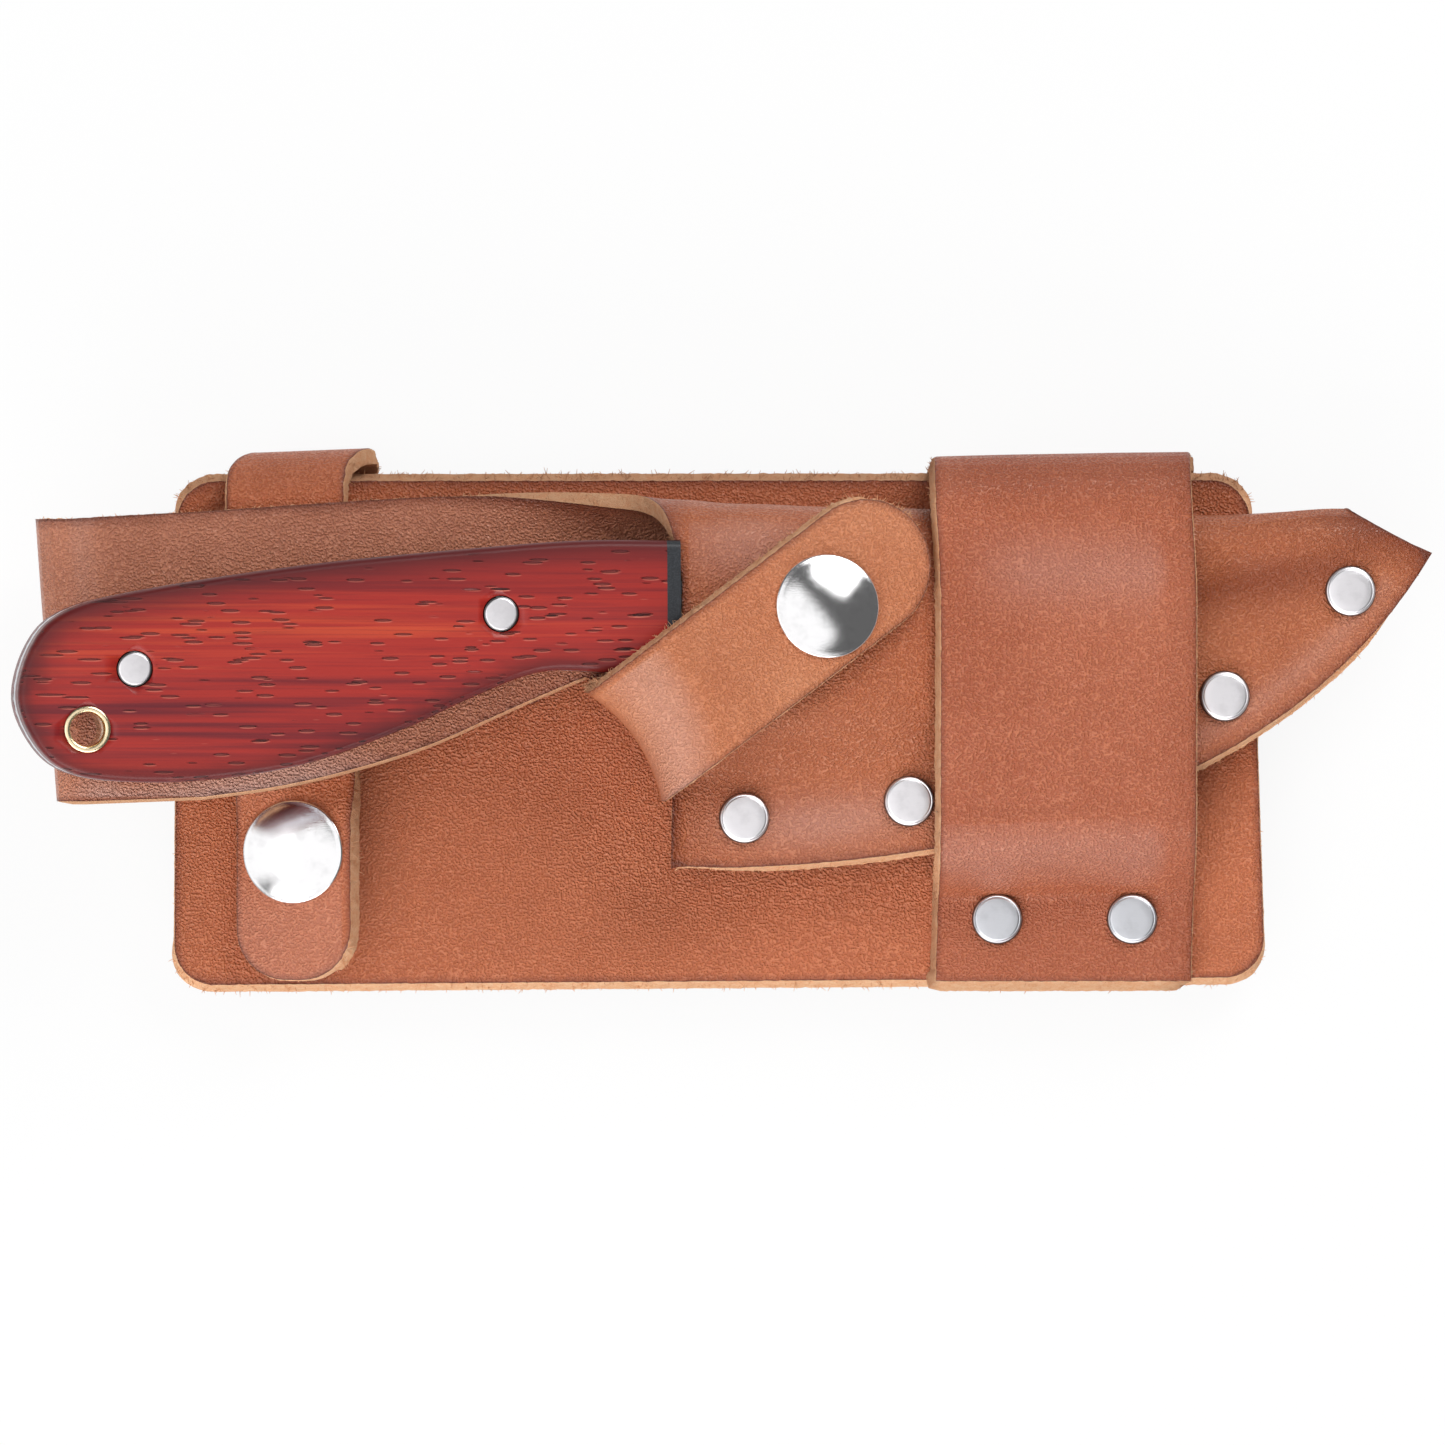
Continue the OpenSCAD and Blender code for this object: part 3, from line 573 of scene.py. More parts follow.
class Run:
    """A bent line in two directions, measured along its length."""

    def __init__(self, points: Sequence[Point2]) -> None:
        """Measures the line.

        Args:
            points: Points of the line in order.
        """
        self.points = [Vector(p) for p in points]
        self.marks = [0.0]
        for a, b in zip(self.points, self.points[1:]):
            self.marks.append(self.marks[-1] + (b - a).length)
        flat = [(b - a).normalized() for a, b in zip(self.points, self.points[1:])]
        ends = [flat[0]] + [(a + b).normalized() for a, b in zip(flat, flat[1:])] + [flat[-1]]
        self.normals = [Vector((-d.y, d.x)) for d in ends]

    @property
    def length(self) -> float:
        """Whole length of the line."""
        return self.marks[-1]

    @classmethod
    def rounded(cls, corners: Sequence[Point2], radii: Sequence[float], steps: int = 8) -> "Run":
        """Makes a line with its corners rounded.

        Args:
            corners: Corner points, with the two ends.
            radii: Radius at each inner corner.
            steps: Steps round each corner.

        Returns:
            The line.
        """
        p = [Vector(c) for c in corners]
        line = [p[0]]
        for a, b, c, radius in zip(p, p[1:], p[2:], radii):
            u, v = (a - b), (c - b)
            reach_most = 0.48 * min(u.length, v.length)
            u.normalize()
            v.normalize()
            half = math.acos(max(-1.0, min(1.0, u.dot(v)))) / 2
            reach = min(radius / math.tan(half), reach_most)
            middle = b + (u + v).normalized() * (reach / math.cos(half))
            start, end, sweep = b + u * reach - middle, b + v * reach - middle, math.pi - 2 * half
            for i in range(steps + 1):
                turned = sweep * i / steps
                spoke = start * math.sin(sweep - turned) + end * math.sin(turned)
                line.append(middle + spoke / math.sin(sweep))
        return cls(line + [p[-1]])

    def at(self, distance: float) -> tuple[Vector, Vector]:
        """Finds a place along the line.

        Args:
            distance: Distance from the start; past an end the line goes straight on.

        Returns:
            The point and the direction square to the line.
        """
        low, high = 0, len(self.marks) - 2
        while low < high:
            mid = (low + high + 1) // 2
            low, high = (mid, high) if self.marks[mid] <= distance else (low, mid - 1)
        span = self.marks[low + 1] - self.marks[low]
        k = (distance - self.marks[low]) / span
        c = min(1.0, max(0.0, k))
        return (self.points[low].lerp(self.points[low + 1], k),
                self.normals[low].lerp(self.normals[low + 1], c).normalized())


def curve(points: Sequence[Point2], steps: int = 8) -> list[Point2]:
    """Draws a smooth curve through points.

    Args:
        points: Points to pass through.
        steps: Steps between two points.

    Returns:
        The points of the curve.
    """
    p = [Vector(q) for q in points]
    line = []
    for i in range(len(p) - 1):
        a, b, c, d = p[max(0, i - 1)], p[i], p[i + 1], p[min(len(p) - 1, i + 2)]
        for s in range(steps):
            k = s / steps
            square, cube = 2 * a - 5 * b + 4 * c - d, 3 * b - a - 3 * c + d
            q = 0.5 * (2 * b + (c - a) * k + square * k * k + cube * k ** 3)
            line.append((q.x, q.y))
    return line + [tuple(p[-1])]


def between(table: Sequence[Point2], x: float) -> float:
    """Reads a value off a table of places and values, eased between them."""
    if x <= table[0][0]:
        return table[0][1]
    for (a, low), (b, high) in zip(table, table[1:]):
        if x <= b:
            return lerp(low, high, smooth((x - a) / (b - a)))
    return table[-1][1]


def resample(outline: Sequence[Point2], step: float) -> list[Point2]:
    """Spreads points evenly along a closed outline, keeping its corners.

    Args:
        outline: Corner points, without repeating the first.
        step: Largest distance between points.

    Returns:
        The denser outline.
    """
    dense = []
    for a, b in closed_pairs(outline):
        count = max(1, math.ceil(math.dist(a, b) / step))
        dense += [(lerp(a[0], b[0], i / count), lerp(a[1], b[1], i / count)) for i in range(count)]
    return dense


def finish_piece(bm: bmesh.types.BMesh, name: str,
                 finishes: Sequence[bpy.types.Material]) -> bpy.types.Object:
    """Turns a bmesh in millimetres into a smooth object in metres.

    Args:
        bm: Mesh, freed afterwards.
        name: Name of the piece.
        finishes: Materials in the order of the faces' indices.

    Returns:
        The new object, in the scene.
    """
    bmesh.ops.scale(bm, vec=(MM, MM, MM), verts=bm.verts)
    for face in bm.faces:
        face.smooth = True
    for edge in bm.edges:
        edge.smooth = len(edge.link_faces) != 2 or edge.calc_face_angle() < SHARP
    mesh = bpy.data.meshes.new(name)
    bm.to_mesh(mesh)
    bm.free()
    for material in finishes:
        mesh.materials.append(material)
    piece = bpy.data.objects.new(name, mesh)
    bpy.context.scene.collection.objects.link(piece)
    return piece


def closed_pairs(points: Sequence[Point2]) -> list[tuple[Point2, Point2]]:
    """Returns each point of a closed line with the next one."""
    return list(zip(points, list(points[1:]) + [points[0]]))


def flat_face(outline: Sequence[Point2], z: float) -> bmesh.types.BMesh:
    """Starts a mesh with one level face that looks up."""
    bm = bmesh.new()
    face = bm.faces.new([bm.verts.new((x, y, z)) for x, y in outline])
    face.normal_update()
    if face.normal.z < 0:
        bmesh.ops.reverse_faces(bm, faces=[face])
    return bm


def slice_at(bm: bmesh.types.BMesh, axis: int, places: Sequence[float]) -> None:
    """Cuts a mesh across an axis at each place, keeping both sides."""
    for at in places:
        place, square = Vector((0, 0, 0)), Vector((0, 0, 0))
        place[axis], square[axis] = at, 1.0
        bmesh.ops.bisect_plane(bm, geom=bm.verts[:] + bm.edges[:] + bm.faces[:], dist=MERGE,
                               plane_co=place, plane_no=square)


def border_tree(border: Sequence[Point2]) -> kdtree.KDTree:
    """Returns a search tree of an outline's points."""
    tree = kdtree.KDTree(len(border))
    for i, (u, v) in enumerate(border):
        tree.insert((u, v, 0.0), i)
    tree.balance()
    return tree


class Side(IntEnum):
    """Sides of a cut piece of leather, in the order of its finishes."""

    GRAIN = 0
    CUT = 1
    FLESH = 2


def unchanged(u: float, v: float) -> float:
    """Returns zero everywhere on a flat piece."""
    return 0.0


@dataclass
class Sheet:
    """A piece of leather that is cut out flat, thickened, rounded at its edges and bent into place."""

    name: str
    outline: Sequence[Point2]
    thickness: float
    bend: Callable[[float, float, float], Vector]
    cell: float = 2.4
    rounding: float = 0.5
    fray: Zone = unchanged
    flare: Zone = unchanged
    shade: Zone = unchanged
    rim_width: float = 2.4
    strands: int = 0
    seed: int = 1
    step: float = 0.9
    level: float = 0.75

    def build(self, finishes: Sequence[bpy.types.Material]) -> bpy.types.Object:
        """Makes the piece.

        Args:
            finishes: Materials of the grain side, the cut edge and the flesh side.

        Returns:
            The bent piece.
        """
        border = resample(self.outline, self.step)
        bm = flat_face(border, 0.0)
        bmesh.ops.inset_region(bm, faces=bm.faces[:], thickness=self.rounding + 0.35, use_even_offset=True)
        self._grid(bm)
        self._thicken(bm)
        bm.normal_update()
        for f in bm.faces:
            facing = Side.GRAIN if f.normal.z > 0 else Side.FLESH
            f.material_index = facing if abs(f.normal.z) > self.level else Side.CUT
        self._weather(bm, border)
        shade = bm.verts.layers.float.get("shade")
        for vert in bm.verts:
            vert[shade] = self.shade(vert.co.x, vert.co.y)
            vert.co = self.bend(*vert.co)
        return finish_piece(bm, self.name, finishes)

    def _grid(self, bm: bmesh.types.BMesh) -> None:
        """Cuts the flat piece into cells that can bend."""
        for axis in (0, 1):
            spread = [v.co[axis] for v in bm.verts]
            low, high = min(spread), max(spread)
            count = math.ceil((high - low) / self.cell)
            slice_at(bm, axis, [lerp(low, high, i / count) for i in range(1, count)])

    def _thicken(self, bm: bmesh.types.BMesh) -> None:
        """Gives the flat piece its thickness and rounds both rims."""
        half = self.thickness / 2
        low = bm.verts[:]
        pebble_highlight = bmesh.ops.extrude_face_region(bm, geom=bm.faces[:], use_keep_orig=True)["geom"]
        high = [g for g in pebble_highlight if isinstance(g, bmesh.types.BMVert)]
        bmesh.ops.translate(bm, vec=(0, 0, half), verts=high)
        bmesh.ops.translate(bm, vec=(0, 0, -half), verts=low)
        bmesh.ops.recalc_face_normals(bm, faces=bm.faces[:])
        bm.normal_update()
        sides = {f for f in bm.faces if abs(f.normal.z) < 0.5}
        rims = [e for e in bm.edges if len(e.link_faces) == 2 and sum(f in sides for f in e.link_faces) == 1]
        bmesh.ops.bevel(bm, geom=rims, offset=self.rounding, offset_type="OFFSET", segments=2, profile=0.5,
                        affect="EDGES", clamp_overlap=True, material=-1)
        bm.normal_update()
        upright = [e for e in bm.edges if abs(e.verts[0].co.z - e.verts[1].co.z) > 1.0]
        bmesh.ops.subdivide_edges(bm, edges=upright, cuts=2, use_grid_fill=True)

    def _weather(self, bm: bmesh.types.BMesh, border: Sequence[Point2]) -> None:
        """Frays and flares the cut edge, marks the rim and adds loose fibres."""
        rim = bm.verts.layers.float.new("rim")
        bm.verts.layers.float.new("shade")
        tree = border_tree(border)
        around = 1 if sum(a[0] * b[1] - b[0] * a[1] for a, b in closed_pairs(border)) > 0 else -1
        outward = []
        for i in range(len(border)):
            a, b = border[i - 1], border[(i + 1) % len(border)]
            along = Vector((b[0] - a[0], b[1] - a[1])).normalized() * around
            outward.append(Vector((along.y, -along.x, 0.0)))
        half = self.thickness / 2
        for vert in bm.verts:
            u, v, w = vert.co
            _, i, away = tree.find((u, v, 0.0))
            vert[rim] = 1.0 - smooth(away / self.rim_width)
            if away < self.rounding + 0.2:
                body = 1.0 - smooth((abs(w) - half * 0.55) / (half * 0.5)) * 0.8
                rough = noise.fractal(Vector((u * 1.3, v * 1.3, w * 1.1 + self.seed)), 0.8, 2.1, 3)
                out = self.fray(u, v) * rough * body + self.flare(u, v) * (0.5 - w / self.thickness)
                lift = noise.noise(Vector((u * 1.7, v * 1.7, 9.0 + self.seed)))
                vert.co += outward[i] * out
                vert.co.z += 0.5 * self.fray(u, v) * lift * body
        self._fibres(bm, border, outward)

    def _fibres(self, bm: bmesh.types.BMesh, border: Sequence[Point2], outward: Sequence[Vector]) -> None:
        """Sets loose fibres along the frayed stretches of the edge."""
        chance = random.Random(self.seed)
        made = 0
        for _ in range(self.strands * TRIES):
            if made == self.strands:
                break
            i = chance.randrange(len(border))
            u, v = border[i]
            if self.fray(u, v) < chance.uniform(0.12, 0.5):
                continue
            made += 1
            long = chance.uniform(0.4, 1.3) * min(1.3, 0.4 + self.fray(u, v) * 1.4)
            along = outward[i].cross(Vector((0, 0, 1)))
            lean = (outward[i] * chance.uniform(0.3, 1.0) + along * chance.uniform(-1.0, 1.0)
                    + Vector((0, 0, chance.uniform(-0.4, 0.9)))).normalized()
            low = chance.uniform(-0.45, 0.4)
            flare = self.flare(u, v) * (0.5 - low)
            base = Vector((u, v, low * self.thickness)) + outward[i] * (flare - 0.1)
            turn = lean.to_track_quat("Z", "Y").to_matrix().to_4x4()
            cone = bmesh.ops.create_cone(bm, cap_ends=True, segments=3, radius1=0.1, radius2=0.03, depth=long,
                                         matrix=Matrix.Translation(base + lean * long * 0.45) @ turn)
            for f in {f for vert in cone["verts"] for f in vert.link_faces}:
                f.material_index = Side.CUT


def lathe(name: str, profile: Sequence[Point2], places: Sequence[Matrix], finish: bpy.types.Material,
          dark_from: float = math.inf, steps: int = 64) -> bpy.types.Object:
    """Spins a profile into a round piece, once for each place.

    Args:
        name: Name of the piece.
        profile: Radius and height of each point, from the axis outwards.
        places: Frames of the copies, in millimetres.
        finish: Material of the piece.
        dark_from: Radius from which the rim is marked dark.
        steps: Steps round the axis.

    Returns:
        The piece with all its copies.
    """
    whole = bmesh.new()
    whole.verts.layers.float.new("rim")
    for place in places:
        bm = bmesh.new()
        rim = bm.verts.layers.float.new("rim")
        line = [bm.verts.new((r, 0.0, z)) for r, z in profile]
        edges = [bm.edges.new(pair) for pair in zip(line, line[1:])]
        bmesh.ops.spin(bm, geom=line + edges, cent=(0, 0, 0), axis=(0, 0, 1), angle=math.tau, steps=steps,
                       use_merge=True)
        bmesh.ops.remove_doubles(bm, verts=bm.verts[:], dist=MERGE)
        bmesh.ops.recalc_face_normals(bm, faces=bm.faces[:])
        for vert in bm.verts:
            vert[rim] = 1.0 if math.hypot(vert.co.x, vert.co.y) > dark_from else 0.0
        bmesh.ops.transform(bm, matrix=place, verts=bm.verts)
        mesh = bpy.data.meshes.new("copy")
        bm.to_mesh(mesh)
        bm.free()
        whole.from_mesh(mesh)
        bpy.data.meshes.remove(mesh)
    return finish_piece(whole, name, [finish])


# Pieces


class Finishes:
    """Materials of the whole object, made once."""

    def __init__(self) -> None:
        """Makes every material."""
        self.grain = GrainFinish("sheath_grain").material()
        self.band = GrainFinish("band_grain", "be6744", "af5733").material()
        self.panel = GrainFinish("panel_grain", "c96f45", "ba6239").material()
        self.strap = GrainFinish("strap_grain", "d6875b", "c77347", "8a4526").material()
        self.cut = CutFinish("cut_edge").material()
        self.flesh = CutFinish("flesh_side", "c78a62", "9a5b39").material()
        self.inside = GrainFinish("slicked_flesh", "d38868", "c1785a", "7c3e2d", 0.38).material()
        self.wood = WoodFinish("red_wood").material()
        self.bolster = CoatedFinish("slate_bolster").material()
        self.chrome = MetalFinish("snap_chrome", "f3f2f3", Polish.MIRROR).material()
        self.nickel = MetalFinish("satin_nickel", "ece9ec", Polish.SATIN).material()
        self.steel = MetalFinish("blade_steel", "cfd0d5", Polish.SATIN).material()
        self.brass = MetalFinish("brass_tube", "f2dfb8", Polish.BRIGHT).material()


def attach(piece: bpy.types.Object, body: str, slot: str, *nodes: str) -> None:
    """Puts a piece on a body in place of CAD nodes, and reports it."""
    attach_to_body(piece, body)
    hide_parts(*nodes)
    log.info("%s rides on %s for %s", piece.name, body, ", ".join(nodes))


def attach_bent(piece: bpy.types.Object, body: str, span: Sequence[Vector], *nodes: str) -> None:
    """Bakes a leather strap's place into its mesh in place of CAD nodes, and reports it."""
    span[0] * MM
    span[1] * MM
    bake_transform(piece)
    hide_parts(*nodes)
    log.info("%s bends between carrier and %s for %s", piece.name, body, ", ".join(nodes))


def way_behind(top: float, tuck: Sequence[float]) -> list[Point2]:
    """Returns the corners of a strap's way over the top, down behind the belt and up to the panel's back."""
    half = LAYOUT.strap_t / 2
    behind = LAYOUT.panel_back - half
    return [(top - half, half), (tuck[0], half), (tuck[1], behind), (tuck[2], behind)]


@dataclass
class Panel:
    """Belt panel behind everything else."""

    corners: Sequence[Point2] = ((-96.9, -47.3), (96.6, -45.9), (93.6, 42.3), (-96.3, 42.1))
    radius: float = 7.0
    edge_flare: Point2 = (0.2, 1.3)
    wave: float = 0.35
    strands: int = 900

    def fray(self, u: float, v: float) -> float:
        """Returns the roughness of the cut edge, greatest at the top and bottom."""
        return 0.6 if v > 38 else 0.45 if v < -42 else 0.16

    def flare(self, u: float, v: float) -> float:
        """Returns how far the underside stands out at the top and bottom edge."""
        return lerp(*self.edge_flare, max(smooth((v - 33) / 8), smooth((-38 - v) / 8)))

    def shade(self, u: float, v: float) -> float:
        """Returns painted shade along the upper edge, on the grain and the cut."""
        return 0.45 * smooth((v - 38.5) / 3)

    def bend(self, u: float, v: float, w: float) -> Vector:
        """Returns the place of a point of the flat panel, a little wavy."""
        wave = self.wave * noise.noise(Vector((u * 0.02, v * 0.025, 3.0)))
        return LAYOUT.plan @ Vector((u, v, LAYOUT.panel_back + LAYOUT.panel_t / 2 + w + wave))

    def build(self, finishes: Finishes) -> None:
        """Makes the panel and puts it in place."""
        first, last = Vector(self.corners[0]), Vector(self.corners[-1])
        start = tuple((first + last) / 2)
        ring = Run.rounded([start, *self.corners, start], [self.radius] * 4, 10).points
        outline = [tuple(p) for p in ring[:-1]]
        sheet = Sheet("belt_panel_leather", outline, LAYOUT.panel_t, self.bend, cell=3.0, fray=self.fray,
                      flare=self.flare, shade=self.shade, strands=self.strands, seed=11, rim_width=2.0)
        piece = sheet.build([finishes.panel, finishes.cut, finishes.flesh])
        attach(piece, "carrier", "panel_leather", "belt_panel")


@dataclass
class Band:
    """Wide band that holds the sheath on the panel."""

    left: float = 38.6
    right: float = 84.0
    low: float = -46.6
    tab_top: float = -30.6
    crown: float = 3.0
    tuck: Sequence[float] = (-20.0, -29.0, -42.0)
    top: Point2 = (46.2, 47.3)
    crests: Point2 = (-24.6, -19.0)
    heights: tuple[Point2, Point2] = ((27.2, 33.2), (25.0, 27.6))
    bends: Sequence[float] = (3.2, 6.0, 26.0, 7.0, 8.0, 6.0, 3.0)
    drift: Sequence[Point2] = ((-47, -0.5), (-20, 0.2), (20, 0.2), (46, -0.9))
    wave: float = 0.3
    strands: int = 260

    @cached_property
    def runs(self) -> tuple[Run, Run]:
        """Lines of the band's left and right side."""
        left, right = (self.run(*side) for side in zip(self.heights, self.top, self.crests))
        return left, right

    def run(self, heights: Point2, top: float, crest: float) -> Run:
        """Returns the band's line at one side.

        Args:
            heights: Height over the sheath's flange and over its raised front.
            top: Reach of the band.
            crest: Place where the band meets the flange's edge.

        Returns:
            The line from the front end up, over the top and down behind the panel.
        """
        half = LAYOUT.strap_t / 2
        tab = LAYOUT.panel_top + half
        front = [(self.low, tab), (self.tab_top, tab), (crest, heights[0]), (self.crown, heights[1]),
                 (top - half, heights[1])]
        return Run.rounded(front + way_behind(top, self.tuck), self.bends, 10)

    def bend(self, u: float, v: float, w: float) -> Vector:
        """Returns the place of a point of the flat band; v runs along the band."""
        left, right = self.runs
        k = (u - self.left) / (self.right - self.left)
        a, n = left.at(v)
        b, m = right.at(v / left.length * right.length)
        place, out = a.lerp(b, k), n.lerp(m, k).normalized()
        x = u + between(self.drift, place.x) if out.y > -0.3 else u
        wave = self.wave * noise.noise(Vector((u * 0.03, v * 0.03, 8.0)))
        place = place + out * (w + wave)
        return LAYOUT.plan @ Vector((x, place.x, place.y))

    def flare(self, u: float, v: float) -> float:
        """Returns how far the underside stands out along the left edge and the lower end."""
        left, end = smooth((self.left + 3 - u) / 2), smooth((3 - v) / 2) * smooth((self.right - u) / 3)
        return max(-0.3, 1.1 * left, 2.0 * end)

    def fray(self, u: float, v: float) -> float:
        """Returns the roughness of the cut edge."""
        return 0.34 if u < self.left + 2 or v < 2 else 0.16

    def shade(self, u: float, v: float) -> float:
        """Returns burnished edges and painted shade, above zero, and painted sheen, below zero."""
        y = (LAYOUT.plan.inverted() @ self.bend(u, v, 0.0)).y
        # Painted shade in the crease where the band leaves the flange.
        crease = -16.2 + 0.8 * noise.noise(Vector((u * 0.1, 0, 0)))
        # Darker right edge as burnish, and brown left cut edge.
        sides = 0.26 * (1 - smooth((self.right - u) / 8)) + 0.3 * (1 - smooth((u - self.left) / 0.6))
        # Darker over the top bend and towards the lower end, partly burnish and partly painted shade.
        ends = 0.32 * smooth((y - 34) / 11) + 0.16 * smooth((-27 - y) / 7)
        # Painted sheen on the upper band and on the slope above the rivets.
        pale = 0.11 * hump(y, 26, 6) * smooth((u - 40) / 16) + 0.1 * hump(y, -23, 5)
        return sides + ends + 0.22 * hump(y, crease, 0.7) - pale

    def build(self, finishes: Finishes) -> None:
        """Makes the band and puts it in place."""
        long = self.runs[0].length
        outline = [(self.left, 0.0), (self.right, 0.0), (self.right, long), (self.left, long)]
        sheet = Sheet("band_leather", outline, LAYOUT.strap_t, self.bend, cell=2.0, fray=self.fray,
                      flare=self.flare, shade=self.shade, strands=self.strands, seed=23, rim_width=1.5)
        piece = sheet.build([finishes.band, finishes.cut, finishes.flesh])
        attach(piece, "carrier", "strap_leather", "band_strap")


@dataclass
class Keeper:
    """Narrow strap through the belt loop, with a tail that snaps to the panel."""

    tail_low: float = -46.3
    top: float = 47.6
    hinge_y: float = -13.6
    hinge_span: Point2 = (3.0, -4.0)
    joint_y: float = 5.0
    tuck: Sequence[float] = (-6.4, -15.4, -30.8)
    slip: float = 5.0
    lean: float = 1.9
    end_radius: float = 9.0
    bend_radius: float = 8.2
    strands: int = 150

    @cached_property
    def run(self) -> Run:
        """Line of the strap from its tail up, over the top and down behind the panel."""
        front = [(self.tail_low, LAYOUT.keeper_z), (self.top - LAYOUT.strap_t / 2, LAYOUT.keeper_z)]
        return Run.rounded(front + way_behind(self.top, self.tuck), [self.bend_radius] * 4, 10)

    def bend(self, u: float, v: float, w: float) -> Vector:
        """Returns the place of a point of the flat strap; v runs along the strap from the tail."""
        place, out = self.run.at(v)
        front = out.y > 0.2 or place.y > 12.0
        tail = smooth((self.hinge_y + 4.0 - place.x) / 9.0) if front else 0.0
        head = smooth((place.x - 37.0) / 8.0) * 0.15
        roll = LAYOUT.keeper_roll * max(tail, head)
        slip = self.slip * smooth((LAYOUT.keeper_z - place.y) / 10.0) * smooth((place.x - 5.0) / 30.0)
        shift = slip - self.lean * smooth((place.x + 8.0) / 48.0)
        x = u * math.cos(roll) - w * math.sin(roll) + shift
        place = place + out * (u * math.sin(roll) + w * math.cos(roll))
        return LAYOUT.plan @ Vector((LAYOUT.keeper_x + x, place.x, place.y))

    def flare(self, u: float, v: float) -> float:
        """Returns how far the underside stands out along the right edge."""
        return 0.8 if u > LAYOUT.keeper_w / 2 - 3 else 0.2

    def fray(self, u: float, v: float) -> float:
        """Returns the roughness of the cut edge."""
        return 0.6 if u > LAYOUT.keeper_w / 2 - 3 else 0.18

    def shade(self, u: float, v: float) -> float:
        """Returns painted sheen on the tail, painted shade on the bend at the top and the brown frayed edge.
        """
        if u > LAYOUT.keeper_w / 2 - 0.3:
            return 0.3
        # Painted sheen on the tail and painted shade on the bend at the top.
        return -0.07 * smooth((24 - v) / 14) + 0.2 * smooth((v - 84) / 6)

    def build(self, finishes: Finishes) -> None:
        """Makes the tail, which bends at the hinge, and the rest of the strap, joined under the belt loop."""
        w, r = LAYOUT.keeper_w / 2, self.end_radius
        long, joint = self.run.length, self.joint_y - self.tail_low
        turn = [math.radians(a) for a in range(0, 91, 9)]
        end = ([(-w + r - r * math.cos(a), r - r * math.sin(a)) for a in turn]
               + [(w - r + r * math.sin(a), r - r * math.cos(a)) for a in turn])
        looks = [finishes.panel, finishes.cut, finishes.flesh]
        common = dict(thickness=LAYOUT.strap_t, bend=self.bend, cell=1.8, fray=self.fray, flare=self.flare,
                      shade=self.shade, rim_width=2.2, step=0.7, strands=self.strands)
        tail = Sheet("keeper_tail_leather", end + [(w, joint), (-w, joint)], seed=31, **common)
        span = [LAYOUT.plan @ Vector((0, self.hinge_y + reach, 0)) for reach in self.hinge_span]
        attach_bent(tail.build(looks), "keeper_end", span, "keeper_tail")
        outline = [(-w, joint), (w, joint), (w, long), (-w, long)]
        rest = Sheet("keeper_strap_leather", outline, seed=32, **common)
        attach(rest.build(looks), "carrier", "strap_leather", "keeper_strap")


@dataclass
class RetentionStrap:
    """Strap that comes round from behind the sheath and snaps over the handle."""

    length: float = 64.2
    back: float = 32.0
    saddle: float = 2.6
    swell: float = 0.9
    drift: float = 0.034
    hinge_z: float = 5.0
    hinge_reach: float = 1.6
    bends: Sequence[float] = (1.9, 6.5, 30.0)
    strands: int = 420

    @cached_property
    def run(self) -> Run:
        """Line of the strap from its hidden end, round the fold and over the handle."""
        half, high = LAYOUT.strap_t / 2, LAYOUT.flap_z
        drop = (self.length - LAYOUT.flap_level) * math.tan(LAYOUT.flap_pitch)
        hidden = [(self.back, -half), (half, -half)]
        over = [(half, high), (LAYOUT.flap_level, high), (self.length, high - drop)]
        return Run.rounded(hidden + over, self.bends, 12)

    def bend(self, u: float, v: float, w: float) -> Vector:
        """Returns the place of a point of the flat strap; u runs along the strap from its hidden end."""
        place, out = self.run.at(u)
        if out.y > 0.3:
            swell = self.swell * hump(place.x, 14.0, 9.0) * hump(v, 0.0, 9.0)
            w += swell - 0.006 * v * v * smooth((place.x - 30) / 25)
        place = place + out * w
        front = smooth((place.y + 1.5) / 3.0)
        waist = self.saddle * (1.0 - (2.0 * v / LAYOUT.flap_w) ** 2) * (1.0 - smooth((place.x - 6.0) / 18.0))
        return LAYOUT.flap @ Vector((place.x + waist, v + self.drift * max(0.0, place.x) * front, place.y))

    def fray(self, u: float, v: float) -> float:
        """Returns the roughness of the cut edge, greatest on the upper side."""
        return 0.55 if v > 0 else 0.2

    def shade(self, u: float, v: float) -> float:
        """Returns painted sheen on the bend, painted shade beyond it and the brown frayed edge."""
        if v > LAYOUT.flap_w / 2 - 0.3:
            return 0.3
        place, _ = self.run.at(u)
        if place.y <= 8:
            return 0.0
        # Painted shade beyond the bend, painted sheen on the bend.
        return 0.12 * hump(place.x, 20.0, 5.0) - 0.19 * hump(place.x, 7.0 + 0.25 * v, 5.5)

    def flare(self, u: float, v: float) -> float:
        """Returns how far the underside stands out on the upper side."""
        return 0.7 if v > LAYOUT.flap_w / 2 - 2 else 0.15

    def build(self, finishes: Finishes) -> None:
        """Makes the strap in one piece, bending at its hinge."""
        long, w = self.run.length, LAYOUT.flap_w / 2
        turn = [math.pi * i / 30 for i in range(1, 30)]
        end = [(long - w + w * math.sin(a), -w * math.cos(a)) for a in turn]
        outline = [(0.0, -w), (long - w, -w), *end, (long - w, w), (0.0, w)]
        sheet = Sheet("retention_leather", outline, LAYOUT.strap_t, self.bend, cell=1.8, fray=self.fray,
                      flare=self.flare, shade=self.shade, strands=self.strands, seed=47, rim_width=2.2,
                      step=0.7)
        piece = sheet.build([finishes.strap, finishes.cut, finishes.flesh])
        span = [LAYOUT.flap @ Vector((LAYOUT.strap_t / 2, 0, self.hinge_z + reach))
                for reach in (-self.hinge_reach, self.hinge_reach)]
        attach_bent(piece, "retention_flap", span, "retention_strap_base", "retention_strap_flap")


